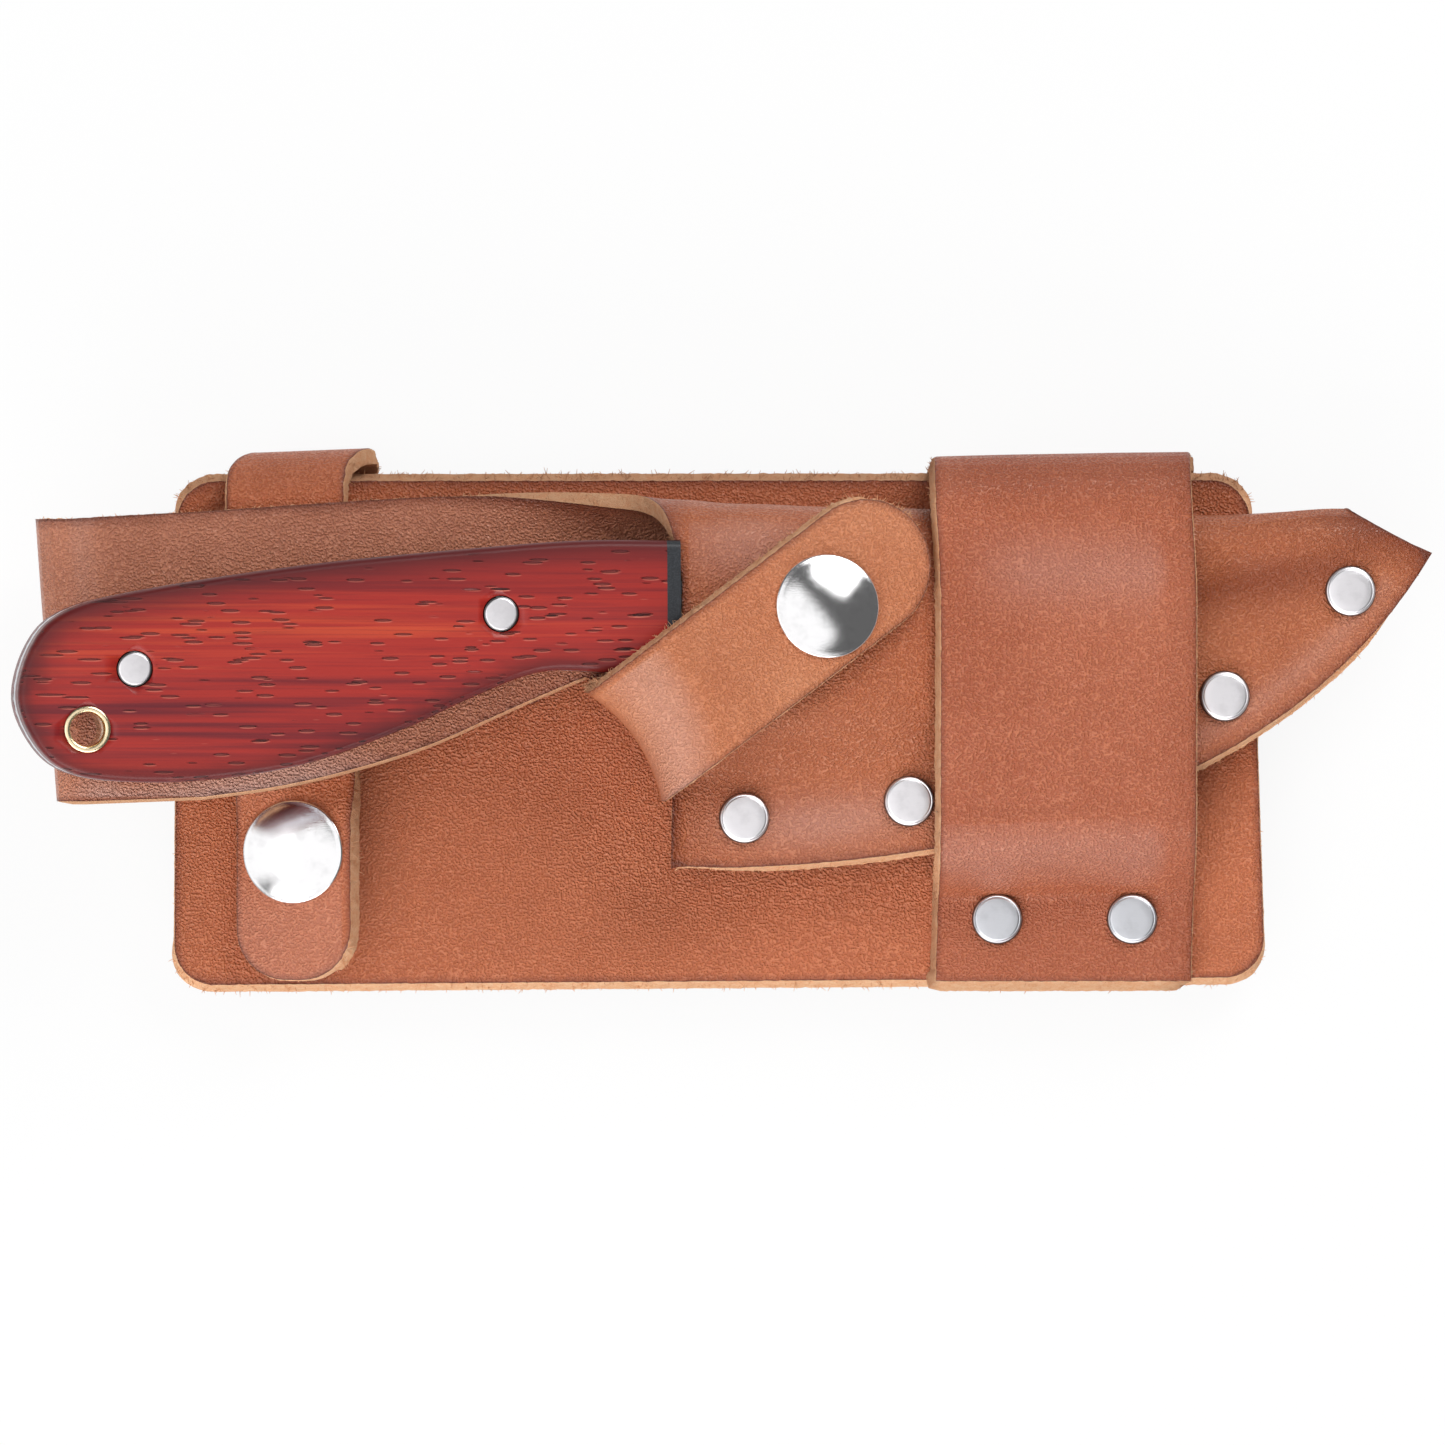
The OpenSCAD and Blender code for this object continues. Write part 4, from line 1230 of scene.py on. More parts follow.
@dataclass
class Sheath:
    """Sheath folded from one piece of leather, with the belt loop that runs back under the handle."""

    length: float = 133.2
    corner_x: float = 118.2
    split_y: float = 31.0
    mouth_low: float = -26.5
    mouth_lean: float = 1.6
    point_y: float = 29.3
    ridge: float = 1.4
    valley: float = 3.2
    softness: float = 0.18
    fold_steps: int = 20
    welt_w: float = 14.0
    loop_l: float = 111.8
    loop_turn: float = 5.1
    loop_ramp: Point2 = (-51.1, -37.1)
    loop_end: float = 24.1
    open_from: float = 46.0
    strands: int = 420
    spine: Sequence[Point2] = ((0, 38.7), (10, 38.0), (26, 37.4), (70, 36.6), (95, 36.1), (118, 37.3))
    rivets: Sequence[Point2] = ((0.074, 8.7), (0.266, 9.0), (0.468, 9.0), (0.682, 8.5), (0.902, 8.0))
    loop_low: Sequence[Point2] = (
        (-14.4, 7.65), (-24.5, 3.4), (-33, -0.4), (-44, -5.2), (-56.4, -9.2), (-70, -12.4), (-84.5, -14.4))
    loop_top: Sequence[Point2] = (
        (-84, 36.3), (-66, 37.6), (-50, 38.6), (-36, 39.3), (-20, 40.2), (-10, 42.4), (-4.5, 47.5),
        (-1.4, 54.5), (0.0, 61.0))
    loop_sides: Point2 = (-15.2, 35.0)
    loop_under: Sequence[Point2] = ((84.5, -14.4), (24.1, 3.0), (24.1, 36.0), (50, 38.0), (84, 36.2))

    def lower(self, k: float) -> Vector:
        """Returns a point of the lower edge, from the mouth at 0 to the point at 1."""
        a, b = Vector((0, self.mouth_low)), Vector((0.395 * self.length, self.mouth_low))
        c, d = Vector((0.808 * self.length, self.mouth_low + 12.5)), Vector((self.length, self.point_y))
        return a * (1 - k) ** 3 + b * 3 * k * (1 - k) ** 2 + c * 3 * k * k * (1 - k) + d * k ** 3

    def lower_out(self, k: float) -> Vector:
        """Returns the direction out of the lower edge."""
        d = (self.lower(min(1.0, k + 0.001)) - self.lower(max(0.0, k - 0.001))).normalized()
        return Vector((d.y, -d.x))

    def share(self, x: float) -> float:
        """Returns the share of the lower edge at which it reaches x, a little short of its ends."""
        x = min(max(x, 0.0), self.length - 0.2)
        low, high = 0.0, 1.0
        for _ in range(24):
            mid = (low + high) / 2
            low, high = (mid, high) if self.lower(mid).x < x else (low, mid)
        return (low + high) / 2

    def bare(self, k: float) -> float:
        """Returns how much of the layers' cut shows along the lower edge, none at its ends."""
        return smooth(k / 0.12) * smooth((0.96 - k) / 0.12)

    def rivet_places(self) -> list[Vector]:
        """Returns the rivets' places along the lower edge."""
        return [self.lower(k) - self.lower_out(k) * inset for k, inset in self.rivets]

    def upper(self, x: float) -> float:
        """Returns the height of the slanted end's edge."""
        past = (x - self.corner_x) / (self.length - self.corner_x)
        return lerp(between(self.spine, self.corner_x), self.point_y, past)

    def section(self, x: float) -> Run:
        """Draws the middle of the leather across the sheath, from the split round the fold to the lower edge.

        Args:
            x: Distance from the mouth.

        Returns:
            The line in height and depth.
        """
        half, k = LAYOUT.sheath_t / 2, self.share(x)
        low = self.lower(k).y
        flat = LAYOUT.flange_top - half
        rise = max(flat, LAYOUT.mouth_top - LAYOUT.front_slope * max(0.0, x) - half)
        rise = max(rise, flat + self.ridge * smooth((x - 90) / 16) * (1 - smooth((x - 114) / 12)))
        deep, tall = between(self.spine, x) - self.split_y - half, (rise - half) / 2
        turn = [math.pi * i / self.fold_steps for i in range(self.fold_steps + 1)]
        points = [(self.split_y + deep * math.sin(a), half + tall * (1 - math.cos(a))) for a in turn]
        slant = max(0.25, -self.lower_out(k).y)
        flange = min(self.welt_w / slant, (self.split_y - low) * 0.62)
        foot, slope = low + flange, min(15.0, (self.split_y - low) * 0.36)
        head = min(self.split_y - 0.4, foot + slope)
        valley = self.valley * smooth((x - 84) / 18) * (1 - smooth((x - 112) / 14))
        for i in range(1, 9):
            y = lerp(self.split_y, head, i / 8)
            points.append((y, rise - valley * smooth((self.split_y - y) / 6.0)))
        for i in range(1, 11):
            y = lerp(head, foot, i / 10)
            fade = 1 - smooth((head - y) / max(1.0, head - foot))
            dent = valley * smooth((self.split_y - head) / 6.0) * fade
            points.append((y, lerp(rise, flat, smooth(i / 10)) - dent))
        points += [(lerp(foot, low, i / 6), flat) for i in range(1, 7)]
        return Run(points)

    def opened(self, x: float) -> Run:
        """Draws the section behind the mouth, where the fold opens out into the flat belt loop."""
        keep = smooth((x + self.open_from) / self.open_from)
        mouth = self.sections[0]
        place = mouth.points[0].copy()
        line = [place.copy()]
        for a, b in zip(mouth.points, mouth.points[1:]):
            d = b - a
            angle = math.atan2(d.y, d.x)
            angle = (angle if angle >= -0.5 else angle + math.tau) * keep
            place = place + Vector((math.cos(angle), math.sin(angle))) * d.length
            line.append(place.copy())
        return Run(line)

    @cached_property
    def sections(self) -> dict[int, Run]:
        """Sections drawn so far, by the number of their station."""
        return {0: self.section(0.0)}

    @cached_property
    def loop(self) -> Run:
        """Middle of the belt loop's leather from the mouth back, round its end and forward again."""
        half, gap = LAYOUT.sheath_t / 2, LAYOUT.loop_gap
        r = gap / 2 + half
        turn_x = -self.loop_l + r + half
        turn = [math.radians(a) for a in range(90, 271, 9)]
        points = [(0.0, half)] + [(turn_x + r * math.cos(a), -gap / 2 + r * math.sin(a)) for a in turn]
        points += [(lerp(*self.loop_ramp, i / 8), lerp(-gap - half, -half, smooth(i / 8))) for i in range(9)]
        return Run(points + [(-self.loop_end, -half)])

    @cached_property
    def low_line(self) -> list[Point2]:
        """Lower edge of the belt loop, from the mouth back."""
        return curve(self.loop_low, 6)

    @cached_property
    def low_table(self) -> list[Point2]:
        """Lower edge of the belt loop by distance, measured from the split."""
        return sorted((x, y - self.split_y) for x, y in self.low_line)

    def bend(self, u: float, v: float, w: float) -> Vector:
        """Returns the place of a point of the flat leather.

        Args:
            u: Distance from the mouth, negative along the belt loop.
            v: Distance from the split, negative on the back sheet.
            w: Height above the leather's middle, towards its grain side.

        Returns:
            The place in the object.
        """
        half = LAYOUT.sheath_t / 2
        if v <= 0:
            place, out = Vector((self.split_y + v, half)), Vector((0, 1))
        else:
            index = u if u >= 0 else u / 2.0
            low = math.floor(index)
            a, n = self._at(low).at(v)
            b, m = self._at(low + 1).at(v)
            place, out = a.lerp(b, index - low), n.lerp(m, index - low).normalized()
        soft = self.softness * noise.noise(Vector((u * 0.05, v * 0.05, 5.0)))
        place = place - out * (w - soft)
        if u > -self.open_from:
            return LAYOUT.sheath @ Vector((u, place.x, place.y))
        spot, side = self.loop.at(-u)
        shift = side * (half - place.y)
        slant = 0.075 * (place.x - 10.0) * smooth((-u - 70.0) / 35.0)
        return LAYOUT.sheath @ Vector((spot.x + shift.x - slant, place.x, spot.y + shift.y))

    def _at(self, index: int) -> Run:
        """Returns the section at a numbered station, drawn once."""
        if index not in self.sections:
            self.sections[index] = self.section(float(index)) if index >= 0 else self.opened(2.0 * index)
        return self.sections[index]

    def front_drop(self, run: Run, y: float) -> float:
        """Returns how far along a section the front layer comes down to a height."""
        for mark, p, q in zip(run.marks, run.points, run.points[1:]):
            if q.y > LAYOUT.sheath_t and p.x >= y >= q.x and p.x - q.x > 1e-6:
                return mark + (p.x - y) / (p.x - q.x) * (q - p).length
        return run.length

    def end_marks(self, x: float) -> Point2:
        """Returns how far along the section the slanted end cuts the back and the front layer."""
        run = self.section(min(x, self.length - 0.3))
        past = (x - self.corner_x) / (self.length - self.corner_x)
        y = self.upper(x) - (1 - past) * LAYOUT.sheath_t / 2
        if y <= self.split_y:
            return y - self.split_y, self.front_drop(run, y)
        deep = max(p.x for p in run.points) - self.split_y
        quarter = self.fold_steps // 2
        turn = quarter - math.acos(min(1.0, (y - self.split_y) / deep)) / math.pi * self.fold_steps
        low = min(quarter - 1, int(turn))
        back = lerp(run.marks[low], run.marks[low + 1], turn - low)
        return back, run.marks[self.fold_steps] - back

    def outline(self) -> list[Point2]:
        """Returns the flat cut of the whole leather, front, back and loop."""
        slanted = [lerp(self.length, self.corner_x, i / 16) for i in range(17)]
        ends = [(x, *self.end_marks(x)) for x in slanted]
        xs = [self.length * i / 60 for i in range(60)]
        front = [(x - self.mouth_lean * smooth(1 - x / 9), self.section(x).length) for x in xs]
        front += [(x, v) for x, _, v in ends]
        back = [(x, v) for x, v, _ in reversed(ends[1:-1])]
        for k in (1 - i / 60 for i in range(61)):
            p = self.lower(k) + self.lower_out(k) * 0.7 * self.bare(k)
            back.append((p.x, p.y - self.split_y))
        near = -self.loop_l + self.loop_turn
        far = near - math.pi * (LAYOUT.loop_gap + LAYOUT.sheath_t) / 2
        low, high = self.loop_sides
        loop = [(0.0, -14.44), (1.1, -14.44)] + self.low_line + [(near, low), (far, low)]
        loop += [(far + near + x, y) for x, y in self.loop_under] + [(far, high), (near, high)]
        loop += curve(self.loop_top, 8)
        mouth = [(-self.mouth_lean * smooth(i / 8), lerp(30.0, front[0][1], i / 8)) for i in range(1, 8)]
        return front + back + [(x, y - self.split_y) for x, y in loop] + mouth

    def fray(self, u: float, v: float) -> float:
        """Returns the roughness of the cut edge, which is burnished at the point."""
        return 0.08 if u > 116 or (u < -40 and v < 0) else 0.3

    def flare(self, u: float, v: float) -> float:
        """Returns how far the flesh side stands out at the lower edge and the mouth."""
        if u < -16 and v < 0:
            return -0.55
        if v < 0:
            return -0.4 if u > 0 and v < -8 else 0.3 * smooth((112 - u) / 6)
        if u > 1.5:
            return 0.6 * smooth(u / 12) * smooth((120 - u) / 12)
        return -0.3 if v > 30 else 0.3

    def shade(self, u: float, v: float) -> float:
        """Returns brown and burnished zones with painted shade, above zero, and painted sheen, below zero."""
        y = (LAYOUT.sheath.inverted() @ self.bend(u, v, 0.0)).y
        if u < -14:
            return self._loop_shade(u, v, y)
        if v < 8:
            return 0.0
        # Brown cut at the mouth.
        if u < 1:
            return 0.4
        k = self.share(u)
        edge = (y - self.lower(k).y) * -self.lower_out(k).y
        end = ((u - self.corner_x) * 8 + (y - between(self.spine, self.corner_x)) * 15) / 17
        # Painted shade in the valley.
        valley = smooth((u - 80) / 10) * (1 - smooth((u - 116) / 10)) * hump(y, 21.5 + 0.17 * (u - 85), 4.5)
        # Burnished slanted end.
        tip = smooth(1 + end / 8) * smooth((u - 98) / 14)
        # The last term is painted shade along the fold's top.
        dark = 0.78 * valley + 0.85 * tip + 0.2 * smooth((y - 33) / 4)
        # Painted sheen along the flange, on the ridge and on the mouth wall.
        rim = 0.18 * hump(edge, 7, 4.5) * hump(u, 26, 17) + 0.11 * hump(edge, 4.5, 2.2) * smooth((u - 84) / 6)
        crown = 0.3 * hump(y, 26, 2.8) * hump(u, 89, 10) + 0.16 * hump(y, 30, 6) * hump(u, 12, 12)
        return min(0.85, dark) - rim - crown

    def _loop_shade(self, u: float, v: float, y: float) -> float:
        """Returns the belt loop's painted shade, painted sheen and dark lower edge line, at a height y."""
        # Upper edge darker: brown cut, and painted shade on the grain under the handle.
        if v > 7.0:
            return 0.45
        # Thin dark line along the lower edge.
        if v - between(self.low_table, u) < 0.5:
            return 0.25
        # Painted sheen on the lower lobe and on the bend at the left end; a little darker over the rest.
        low = 0.42 * hump(y, 0.2 * (u + 70) - 11.0, 5.0) * smooth((-u - 40) / 30)
        return 0.12 - low - 0.2 * hump(u, -104.0, 4.0)

    def build(self, finishes: Finishes) -> None:
        """Makes the folded leather and the welt, and puts them in place."""
        sheet = Sheet("sheath_leather", self.outline(), LAYOUT.sheath_t, self.bend, cell=2.2, fray=self.fray,
                      flare=self.flare, shade=self.shade, strands=self.strands, seed=53, rim_width=3.0)
        piece = sheet.build([finishes.grain, finishes.cut, finishes.inside])
        attach(piece, "carrier", "sheath_leather", "sheath_back", "sheath_front")
        Welt(self).build(finishes)


@dataclass
class Welt:
    """Welt between the sheath's two layers along the lower edge."""

    sheath: Sheath
    clearance: float = 0.1
    roughness: float = 0.35
    strands: int = 120

    def outline(self) -> list[Point2]:
        """Returns the welt's outline in the sheath's frame."""
        sheath, ks = self.sheath, [i / 60 for i in range(60)]
        outer = [sheath.lower(k) + sheath.lower_out(k) * (1.2 * sheath.bare(k) - 0.3) for k in ks]
        inner = [sheath.lower(k) - sheath.lower_out(k) * sheath.welt_w for k in reversed(ks) if k < 0.86]
        tip_x = sheath.corner_x + 3
        return [tuple(p) for p in outer + [Vector((tip_x, sheath.upper(tip_x) - 3))] + inner]

    def fray(self, u: float, v: float) -> float:
        """Returns the roughness of the cut edge, the same all round."""
        return self.roughness

    def bend(self, u: float, v: float, w: float) -> Vector:
        """Returns the place of a point of the flat welt."""
        return LAYOUT.sheath @ Vector((u, v, LAYOUT.sheath_t + LAYOUT.welt_t / 2 + w))

    def build(self, finishes: Finishes) -> None:
        """Makes the welt and puts it in place."""
        sheet = Sheet("welt_leather", self.outline(), LAYOUT.welt_t - self.clearance, self.bend, cell=4.0,
                      fray=self.fray, strands=self.strands, seed=59)
        attach(sheet.build([finishes.cut] * 3), "carrier", "sheath_leather", "welt")


@dataclass
class Hardware:
    """Rivets and snaps, turned on a lathe."""

    rivet_d: float = 9.0
    rivet_h: float = 1.2
    snap_d: float = 18.4
    snap_h: float = 2.4
    snap_rim: float = 0.75
    crown_share: float = 0.95
    roll_w: float = 0.45
    roll_h: float = 0.42
    post: Point2 = (2.2, -3.4)
    sheath_lift: float = 0.05
    band_lift: float = 0.1
    dark_share: float = 0.97
    band_rivets: Sequence[Point2] = ((49.05, -35.5), (72.95, -35.5))
    cap_shape: Sequence[Point2] = (
        (0, 1.03), (0.5, 1.02), (0.8, 1), (0.83, 0.97), (0.85, 0.89), (0.87, 0.89), (0.9, 0.97), (0.94, 0.9),
        (0.97, 0.72), (0.99, 0.45), (1, 0.2), (1, 0), (0, 0))

    def rivet_profile(self) -> list[Point2]:
        """Returns the outline of a rivet's cap."""
        return [(self.rivet_d / 2 * x, self.rivet_h * z) for x, z in self.cap_shape]

    def dome_profile(self) -> list[Point2]:
        """Returns the outline of a snap's cap with its rolled rim."""
        r, rim = self.snap_d / 2 * self.crown_share, self.snap_rim
        crown = [(r * i / 14, rim + (self.snap_h - rim) * (1 - (i / 14) ** 2)) for i in range(15)]
        middle = rim - self.roll_h
        turn = [math.radians(a) for a in range(15, 181, 15)]
        roll = [(r + self.roll_w * math.sin(a), middle + self.roll_h * math.cos(a)) for a in turn]
        return crown + roll + [(self.post[0], middle - self.roll_h), self.post, (0, self.post[1])]

    def build(self, sheath: Sheath, finishes: Finishes) -> None:
        """Makes all caps and puts them in place."""
        at = Matrix.Translation
        profile, dark = self.rivet_profile(), self.rivet_d / 2 * self.dark_share
        flange = LAYOUT.sheath @ at((0, 0, LAYOUT.flange_top + self.sheath_lift))
        on_band = LAYOUT.plan @ at((0, 0, LAYOUT.panel_top + LAYOUT.strap_t + self.band_lift))
        for name, frame_of, places, look, node in (
                ("sheath_rivet_domes", flange, sheath.rivet_places(), finishes.nickel, "sheath_rivet_caps"),
                ("band_rivet_domes", on_band, self.band_rivets, finishes.steel, "band_rivet_caps")):
            caps = [frame_of @ at((x, y, 0)) for x, y in places]
            attach(lathe(name, profile, caps, look, dark), "carrier", "nickel", node)
        lift = at((0, 0, LAYOUT.strap_t / 2))
        for name, body, node, place in (
                ("retention_dome", "retention_flap", "retention_snap_cap", LAYOUT.flap_snap_place),
                ("keeper_dome", "keeper_end", "keeper_snap_cap", LAYOUT.keeper_snap_place)):
            dome = lathe(name, self.dome_profile(), [place @ lift], finishes.chrome, steps=96)
            attach(dome, body, "snap_chrome", node)


@dataclass
class Knife:
    """Handle of the knife: two wooden scales, a dark bolster, pins and a lanyard tube on a steel tang."""

    length: float = 117.0
    bolster_l: float = 3.2
    bolster_seen: float = 2.4
    front_top: float = 31.4
    front_past: float = 12.0
    back_past: float = -400.0
    rounding: float = 5.2
    crown: float = 0.5
    pin_d: float = 6.0
    tube_od: float = 8.1
    tube_id: float = 6.2
    pins: Sequence[Point2] = ((0.272, 18.4), (0.825, 8.7))
    pin_room: float = 0.5
    tube: Point2 = (0.896, -1.9)
    shape: Sequence[Point2] = (
        (0, 0), (0.116, 0), (0.26, 1.1), (0.548, 4.3), (0.815, 9), (0.928, 12.6), (0.979, 18.5), (1, 28),
        (0.969, 36.4), (0.918, 40.9), (0.836, 42.5), (0.712, 42.3), (0.558, 39.5), (0.404, 33.4), (0.301, 28),
        (0.188, 23.2), (0.075, 23.4), (0, 24))

    def outline(self) -> list[Point2]:
        """Returns the handle's outline, drawn on past its front."""
        back = -LAYOUT.guard_gap - self.bolster_l
        long = self.length - self.bolster_l
        line = curve([(back - share * long, self.front_top - drop) for share, drop in self.shape], 8)
        return [(self.front_past, line[0][1])] + line + [(self.front_past, line[-1][1])]

    def half_handle(self, cut: tuple[float, float]) -> bmesh.types.BMesh:
        """Makes a rounded piece of the handle above the tang.

        Args:
            cut: Places along the knife between which the piece is kept.

        Returns:
            The mesh in the knife's frame.
        """
        border = resample(self.outline(), 1.6)
        bm = flat_face(border, LAYOUT.blade_t / 2)
        top = bmesh.ops.extrude_face_region(bm, geom=bm.faces[:], use_keep_orig=True)["geom"]
        rise = (LAYOUT.handle_t - LAYOUT.blade_t) / 2
        bmesh.ops.translate(bm, vec=(0, 0, rise), verts=[g for g in top if isinstance(g, bmesh.types.BMVert)])
        bmesh.ops.recalc_face_normals(bm, faces=bm.faces[:])
        bm.normal_update()
        lid = [f for f in bm.faces if f.normal.z > 0.9]
        rims = [e for f in lid for e in f.edges]
        bmesh.ops.bevel(bm, geom=rims, offset=self.rounding, offset_type="OFFSET", segments=9, profile=0.5,
                        affect="EDGES", clamp_overlap=True, material=-1)
        for axis, step in ((0, 3.0), (1, 2.5)):
            spread = [v.co[axis] for v in bm.verts]
            count = int((max(spread) - min(spread)) / step)
            slice_at(bm, axis, [min(spread) + i * step for i in range(1, count)])
        for place, square in ((cut[0], -1.0), (cut[1], 1.0)):
            made = bmesh.ops.bisect_plane(bm, geom=bm.verts[:] + bm.edges[:] + bm.faces[:], dist=MERGE,
                                          plane_co=(place, 0, 0), plane_no=(square, 0, 0), clear_outer=True)
            edges = [g for g in made["geom_cut"] if isinstance(g, bmesh.types.BMEdge)]
            bmesh.ops.holes_fill(bm, edges=edges, sides=0)
        self._mark(bm, border)
        return bm

    def _mark(self, bm: bmesh.types.BMesh, border: Sequence[Point2]) -> None:
        """Crowns the face, marks the rounded rim for painted shade and marks painted shade along the upper
        side.
        """
        rim, shade = bm.verts.layers.float.new("rim"), bm.verts.layers.float.new("shade")
        tree = border_tree(border)
        for vert in bm.verts:
            near, _, away = tree.find((vert.co.x, vert.co.y, 0.0))
            vert[rim] = 1.0 - smooth((away - 0.6) / 3.6)
            # Painted shade along the upper side of the handle.
            vert[shade] = 1.0 - smooth((away - 2.0) / 5.5) if near.y > vert.co.y else 0.0
            if vert.co.z > LAYOUT.blade_t / 2 + 1:
                vert.co.z += self.crown * smooth((away - 3.0) / 10.0) - self.crown * 0.4

    def drill(self, piece: bpy.types.Object, holes: Sequence[tuple[Matrix, float]]) -> None:
        """Bores round holes through a piece.

        Args:
            piece: Piece to bore.
            holes: Frame in millimetres and diameter of each hole.
        """
        bm = bmesh.new()
        for place, width in holes:
            made = bmesh.ops.create_cone(bm, cap_ends=True, segments=48, radius1=width / 2, radius2=width / 2,
                                         depth=60)
            bmesh.ops.transform(bm, matrix=place, verts=made["verts"])
        cutter = finish_piece(bm, "drill", [])
        bore = piece.modifiers.new("bore", "BOOLEAN")
        bore.operation, bore.object, bore.solver = "DIFFERENCE", cutter, "EXACT"
        bpy.context.view_layer.update()
        shaped = piece.evaluated_get(bpy.context.evaluated_depsgraph_get())
        drilled = bpy.data.meshes.new_from_object(shaped)
        piece.modifiers.clear()
        piece.data = drilled
        bpy.data.objects.remove(cutter)

    def spot(self, share: float, height: float) -> Matrix:
        """Returns the frame of a pin or tube."""
        return LAYOUT.knife @ Matrix.Translation((-LAYOUT.guard_gap - share * self.length, height, 0))

    def build(self, finishes: Finishes) -> None:
        """Makes the handle's pieces and puts them on the knife."""
        front, back = -LAYOUT.guard_gap, -LAYOUT.guard_gap - self.bolster_seen
        flip = Matrix.Scale(-1, 4, (0, 0, 1))
        holes = [(self.spot(*self.tube), self.tube_od)]
        holes += [(self.spot(*p), self.pin_d + self.pin_room) for p in self.pins]
        for side, mirror in (("front", Matrix.Identity(4)), ("rear", flip)):
            for part, cut, look, slot in (("scale", (self.back_past, back), finishes.wood, "red_wood"),
                                          ("bolster", (back, front), finishes.bolster, "black_bolster")):
                bm = self.half_handle(cut)
                bmesh.ops.transform(bm, matrix=LAYOUT.knife @ mirror, verts=bm.verts)
                bmesh.ops.recalc_face_normals(bm, faces=bm.faces[:])
                piece = finish_piece(bm, f"{side}_{part}_shaped", [look])
                if part == "scale":
                    self.drill(piece, holes)
                attach(piece, "knife", slot, f"{side}_{part}")
        self.build_pins(finishes)

    def build_pins(self, finishes: Finishes) -> None:
        """Makes the pins and the flared lanyard tube."""
        r, top = self.pin_d / 2, LAYOUT.handle_t / 2 + self.crown * 0.6 + 0.08
        pin = [(0, top), (r - 0.5, top), (r - 0.3, top - 0.02), (r - 0.18, top - 0.14), (r, top - 0.2),
               (r, 0.2 - top), (r - 0.18, 0.14 - top), (r - 0.3, 0.02 - top), (0, -top)]
        places = [self.spot(*p) for p in self.pins]
        ends = lathe("handle_pin_ends", pin, places, finishes.nickel, r - 0.25)
        attach(ends, "knife", "pin_steel", "handle_pins")
        r, bore = self.tube_od / 2, self.tube_id / 2
        half = [(bore, 0), (bore, top - 0.1), (bore + 0.12, top + 0.05), (r - 0.2, top + 0.08),
                (r, top - 0.08)]
        whole = half + [(x, -z) for x, z in reversed(half)]
        tube = lathe("lanyard_tube_flared", whole, [self.spot(*self.tube)], finishes.brass)
        attach(tube, "knife", "brass_tube", "lanyard_tube")


@dataclass(frozen=True)
class SoftBox:
    """One rectangular lamp, in metres and watts."""

    name: str
    place: tuple[float, float, float]
    size: Point2
    power: float

    def hang(self, aim: Vector) -> None:
        """Hangs the lamp so that it faces a point."""
        data = bpy.data.lights.new(self.name, "AREA")
        data.shape = "RECTANGLE"
        data.size, data.size_y = self.size
        data.energy = self.power
        box = bpy.data.objects.new(self.name, data)
        box.location = self.place
        box.rotation_euler = (aim - Vector(self.place)).to_track_quat("-Z", "Y").to_euler()
        bpy.context.scene.collection.objects.link(box)


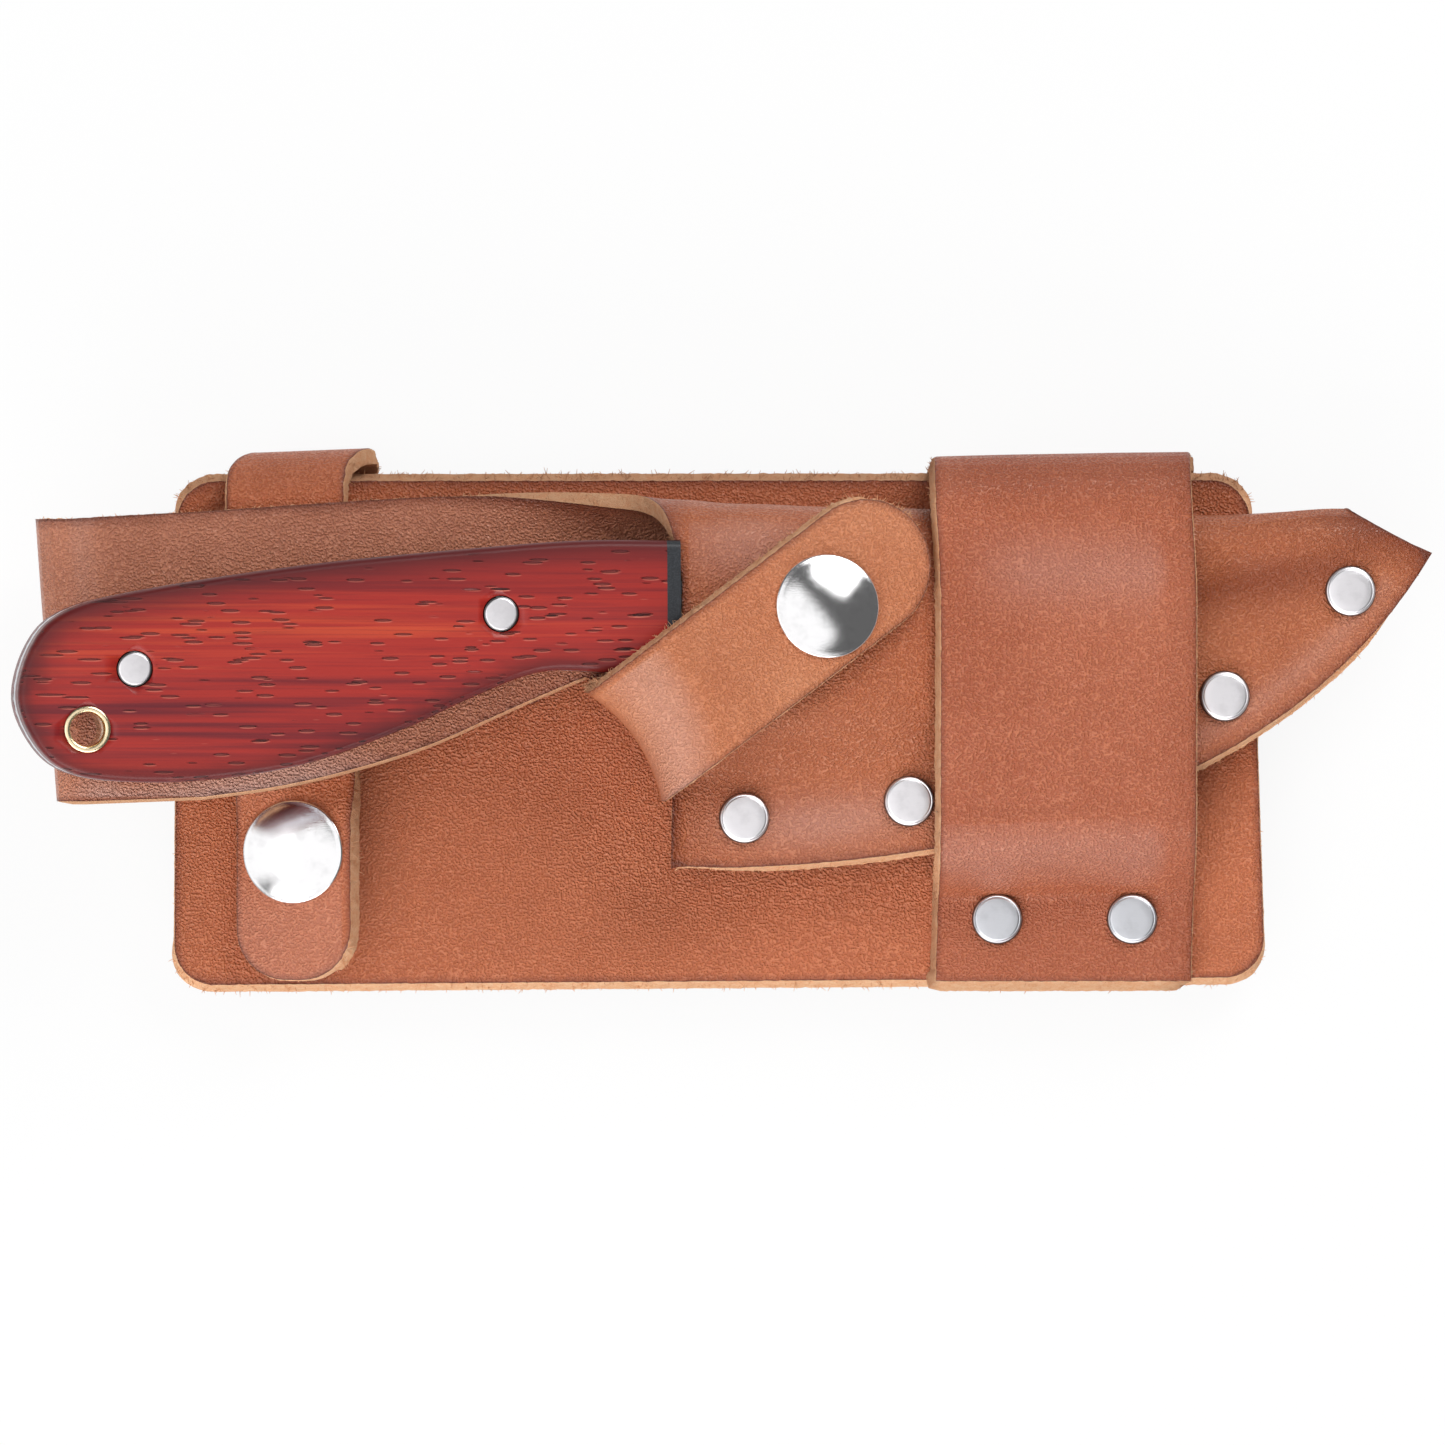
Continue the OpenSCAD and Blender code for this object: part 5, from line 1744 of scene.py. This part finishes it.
@dataclass
class Studio:
    """White floor, soft lamps and the camera that looks straight down."""

    frame_width: float = 255.75
    reference_z: float = 20.0
    distance: float = 4000.0
    middle: Point2 = (-0.2265, -1.008)
    sensor: float = 36.0
    aim: tuple[float, float, float] = (0, 0, 0.02)
    room_light: float = 0.13
    floor_glow: float = 0.9
    lamps: Sequence[SoftBox] = (
        SoftBox("overhead", (-0.45, -0.35, 1.9), (2.4, 2.2), 16.4),
        SoftBox("left", (-1.15, 0.0, 0.85), (1.2, 1.2), 4.5),
        SoftBox("right", (0.6, 0.95, 0.95), (0.8, 0.8), 12.5),
        SoftBox("low", (-0.2, -0.95, 0.6), (1.6, 0.6), 10.5))

    def camera(self) -> None:
        """Sets the camera."""
        data = bpy.data.cameras.new("camera")
        data.sensor_width = self.sensor
        data.lens = self.sensor * self.distance / self.frame_width
        data.clip_end = 20.0
        eye = bpy.data.objects.new("camera", data)
        eye.location = (self.middle[0] * MM, self.middle[1] * MM, (self.reference_z + self.distance) * MM)
        bpy.context.scene.collection.objects.link(eye)
        bpy.context.scene.camera = eye

    def floor(self) -> None:
        """Lays the white floor, which keeps a faint shadow."""
        bm = bmesh.new()
        bmesh.ops.create_grid(bm, x_segments=2, y_segments=2, size=3000.0)
        b = Bench("white_floor")
        b.set(Base_Color=(0.86, 0.86, 0.86, 1.0), Roughness=0.9)
        glow = b.node("ShaderNodeEmission", {}, {"Color": (1, 1, 1, 1), "Strength": 1.0})
        camera, glossy, clear = (b.node("ShaderNodeLightPath", {}, {}, f"Is {ray} Ray")
                                 for ray in ("Camera", "Glossy", "Transmission"))
        seen = (camera + glossy + clear) * self.floor_glow
        mixed = b.node("ShaderNodeMixShader", {}, {0: seen, 1: Socket(b, b.shader.outputs[0]), 2: glow})
        b.feed(b.tree.nodes["Material Output"].inputs["Surface"], mixed)
        floor = finish_piece(bm, "floor", [b.material])

    def world(self) -> None:
        """Fills the room with plain soft light."""
        world = bpy.data.worlds.new("room")
        world.use_nodes = True
        back = world.node_tree.nodes["Background"]
        back.inputs["Color"].default_value = (1.0, 1.0, 1.0, 1.0)
        back.inputs["Strength"].default_value = self.room_light
        bpy.context.scene.world = world

    def build(self) -> None:
        """Sets up the whole studio."""
        self.camera()
        self.floor()
        self.world()
        for lamp in self.lamps:
            lamp.hang(Vector(self.aim))
        bpy.context.scene.view_settings.view_transform = "Standard"


def dress_hidden_nodes(finishes: Finishes) -> None:
    """Gives the CAD nodes that still show their finishes."""
    looks = {"blade": finishes.steel}
    for name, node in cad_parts.items():
        if node.hide_render:
            continue
        node.data.materials.clear()
        node.data.materials.append(looks.get(name, finishes.nickel))
        log.info("%s keeps its CAD shape", name)


def main() -> None:
    """Builds the sub-assemblies in order."""
    logging.basicConfig(level=logging.INFO, format="%(message)s")
    finishes = Finishes()
    sheath = Sheath()
    Panel().build(finishes)
    Band().build(finishes)
    Keeper().build(finishes)
    RetentionStrap().build(finishes)
    sheath.build(finishes)
    Hardware().build(sheath, finishes)
    Knife().build(finishes)
    dress_hidden_nodes(finishes)
    Studio().build()


if __name__ == "__main__":
    main()
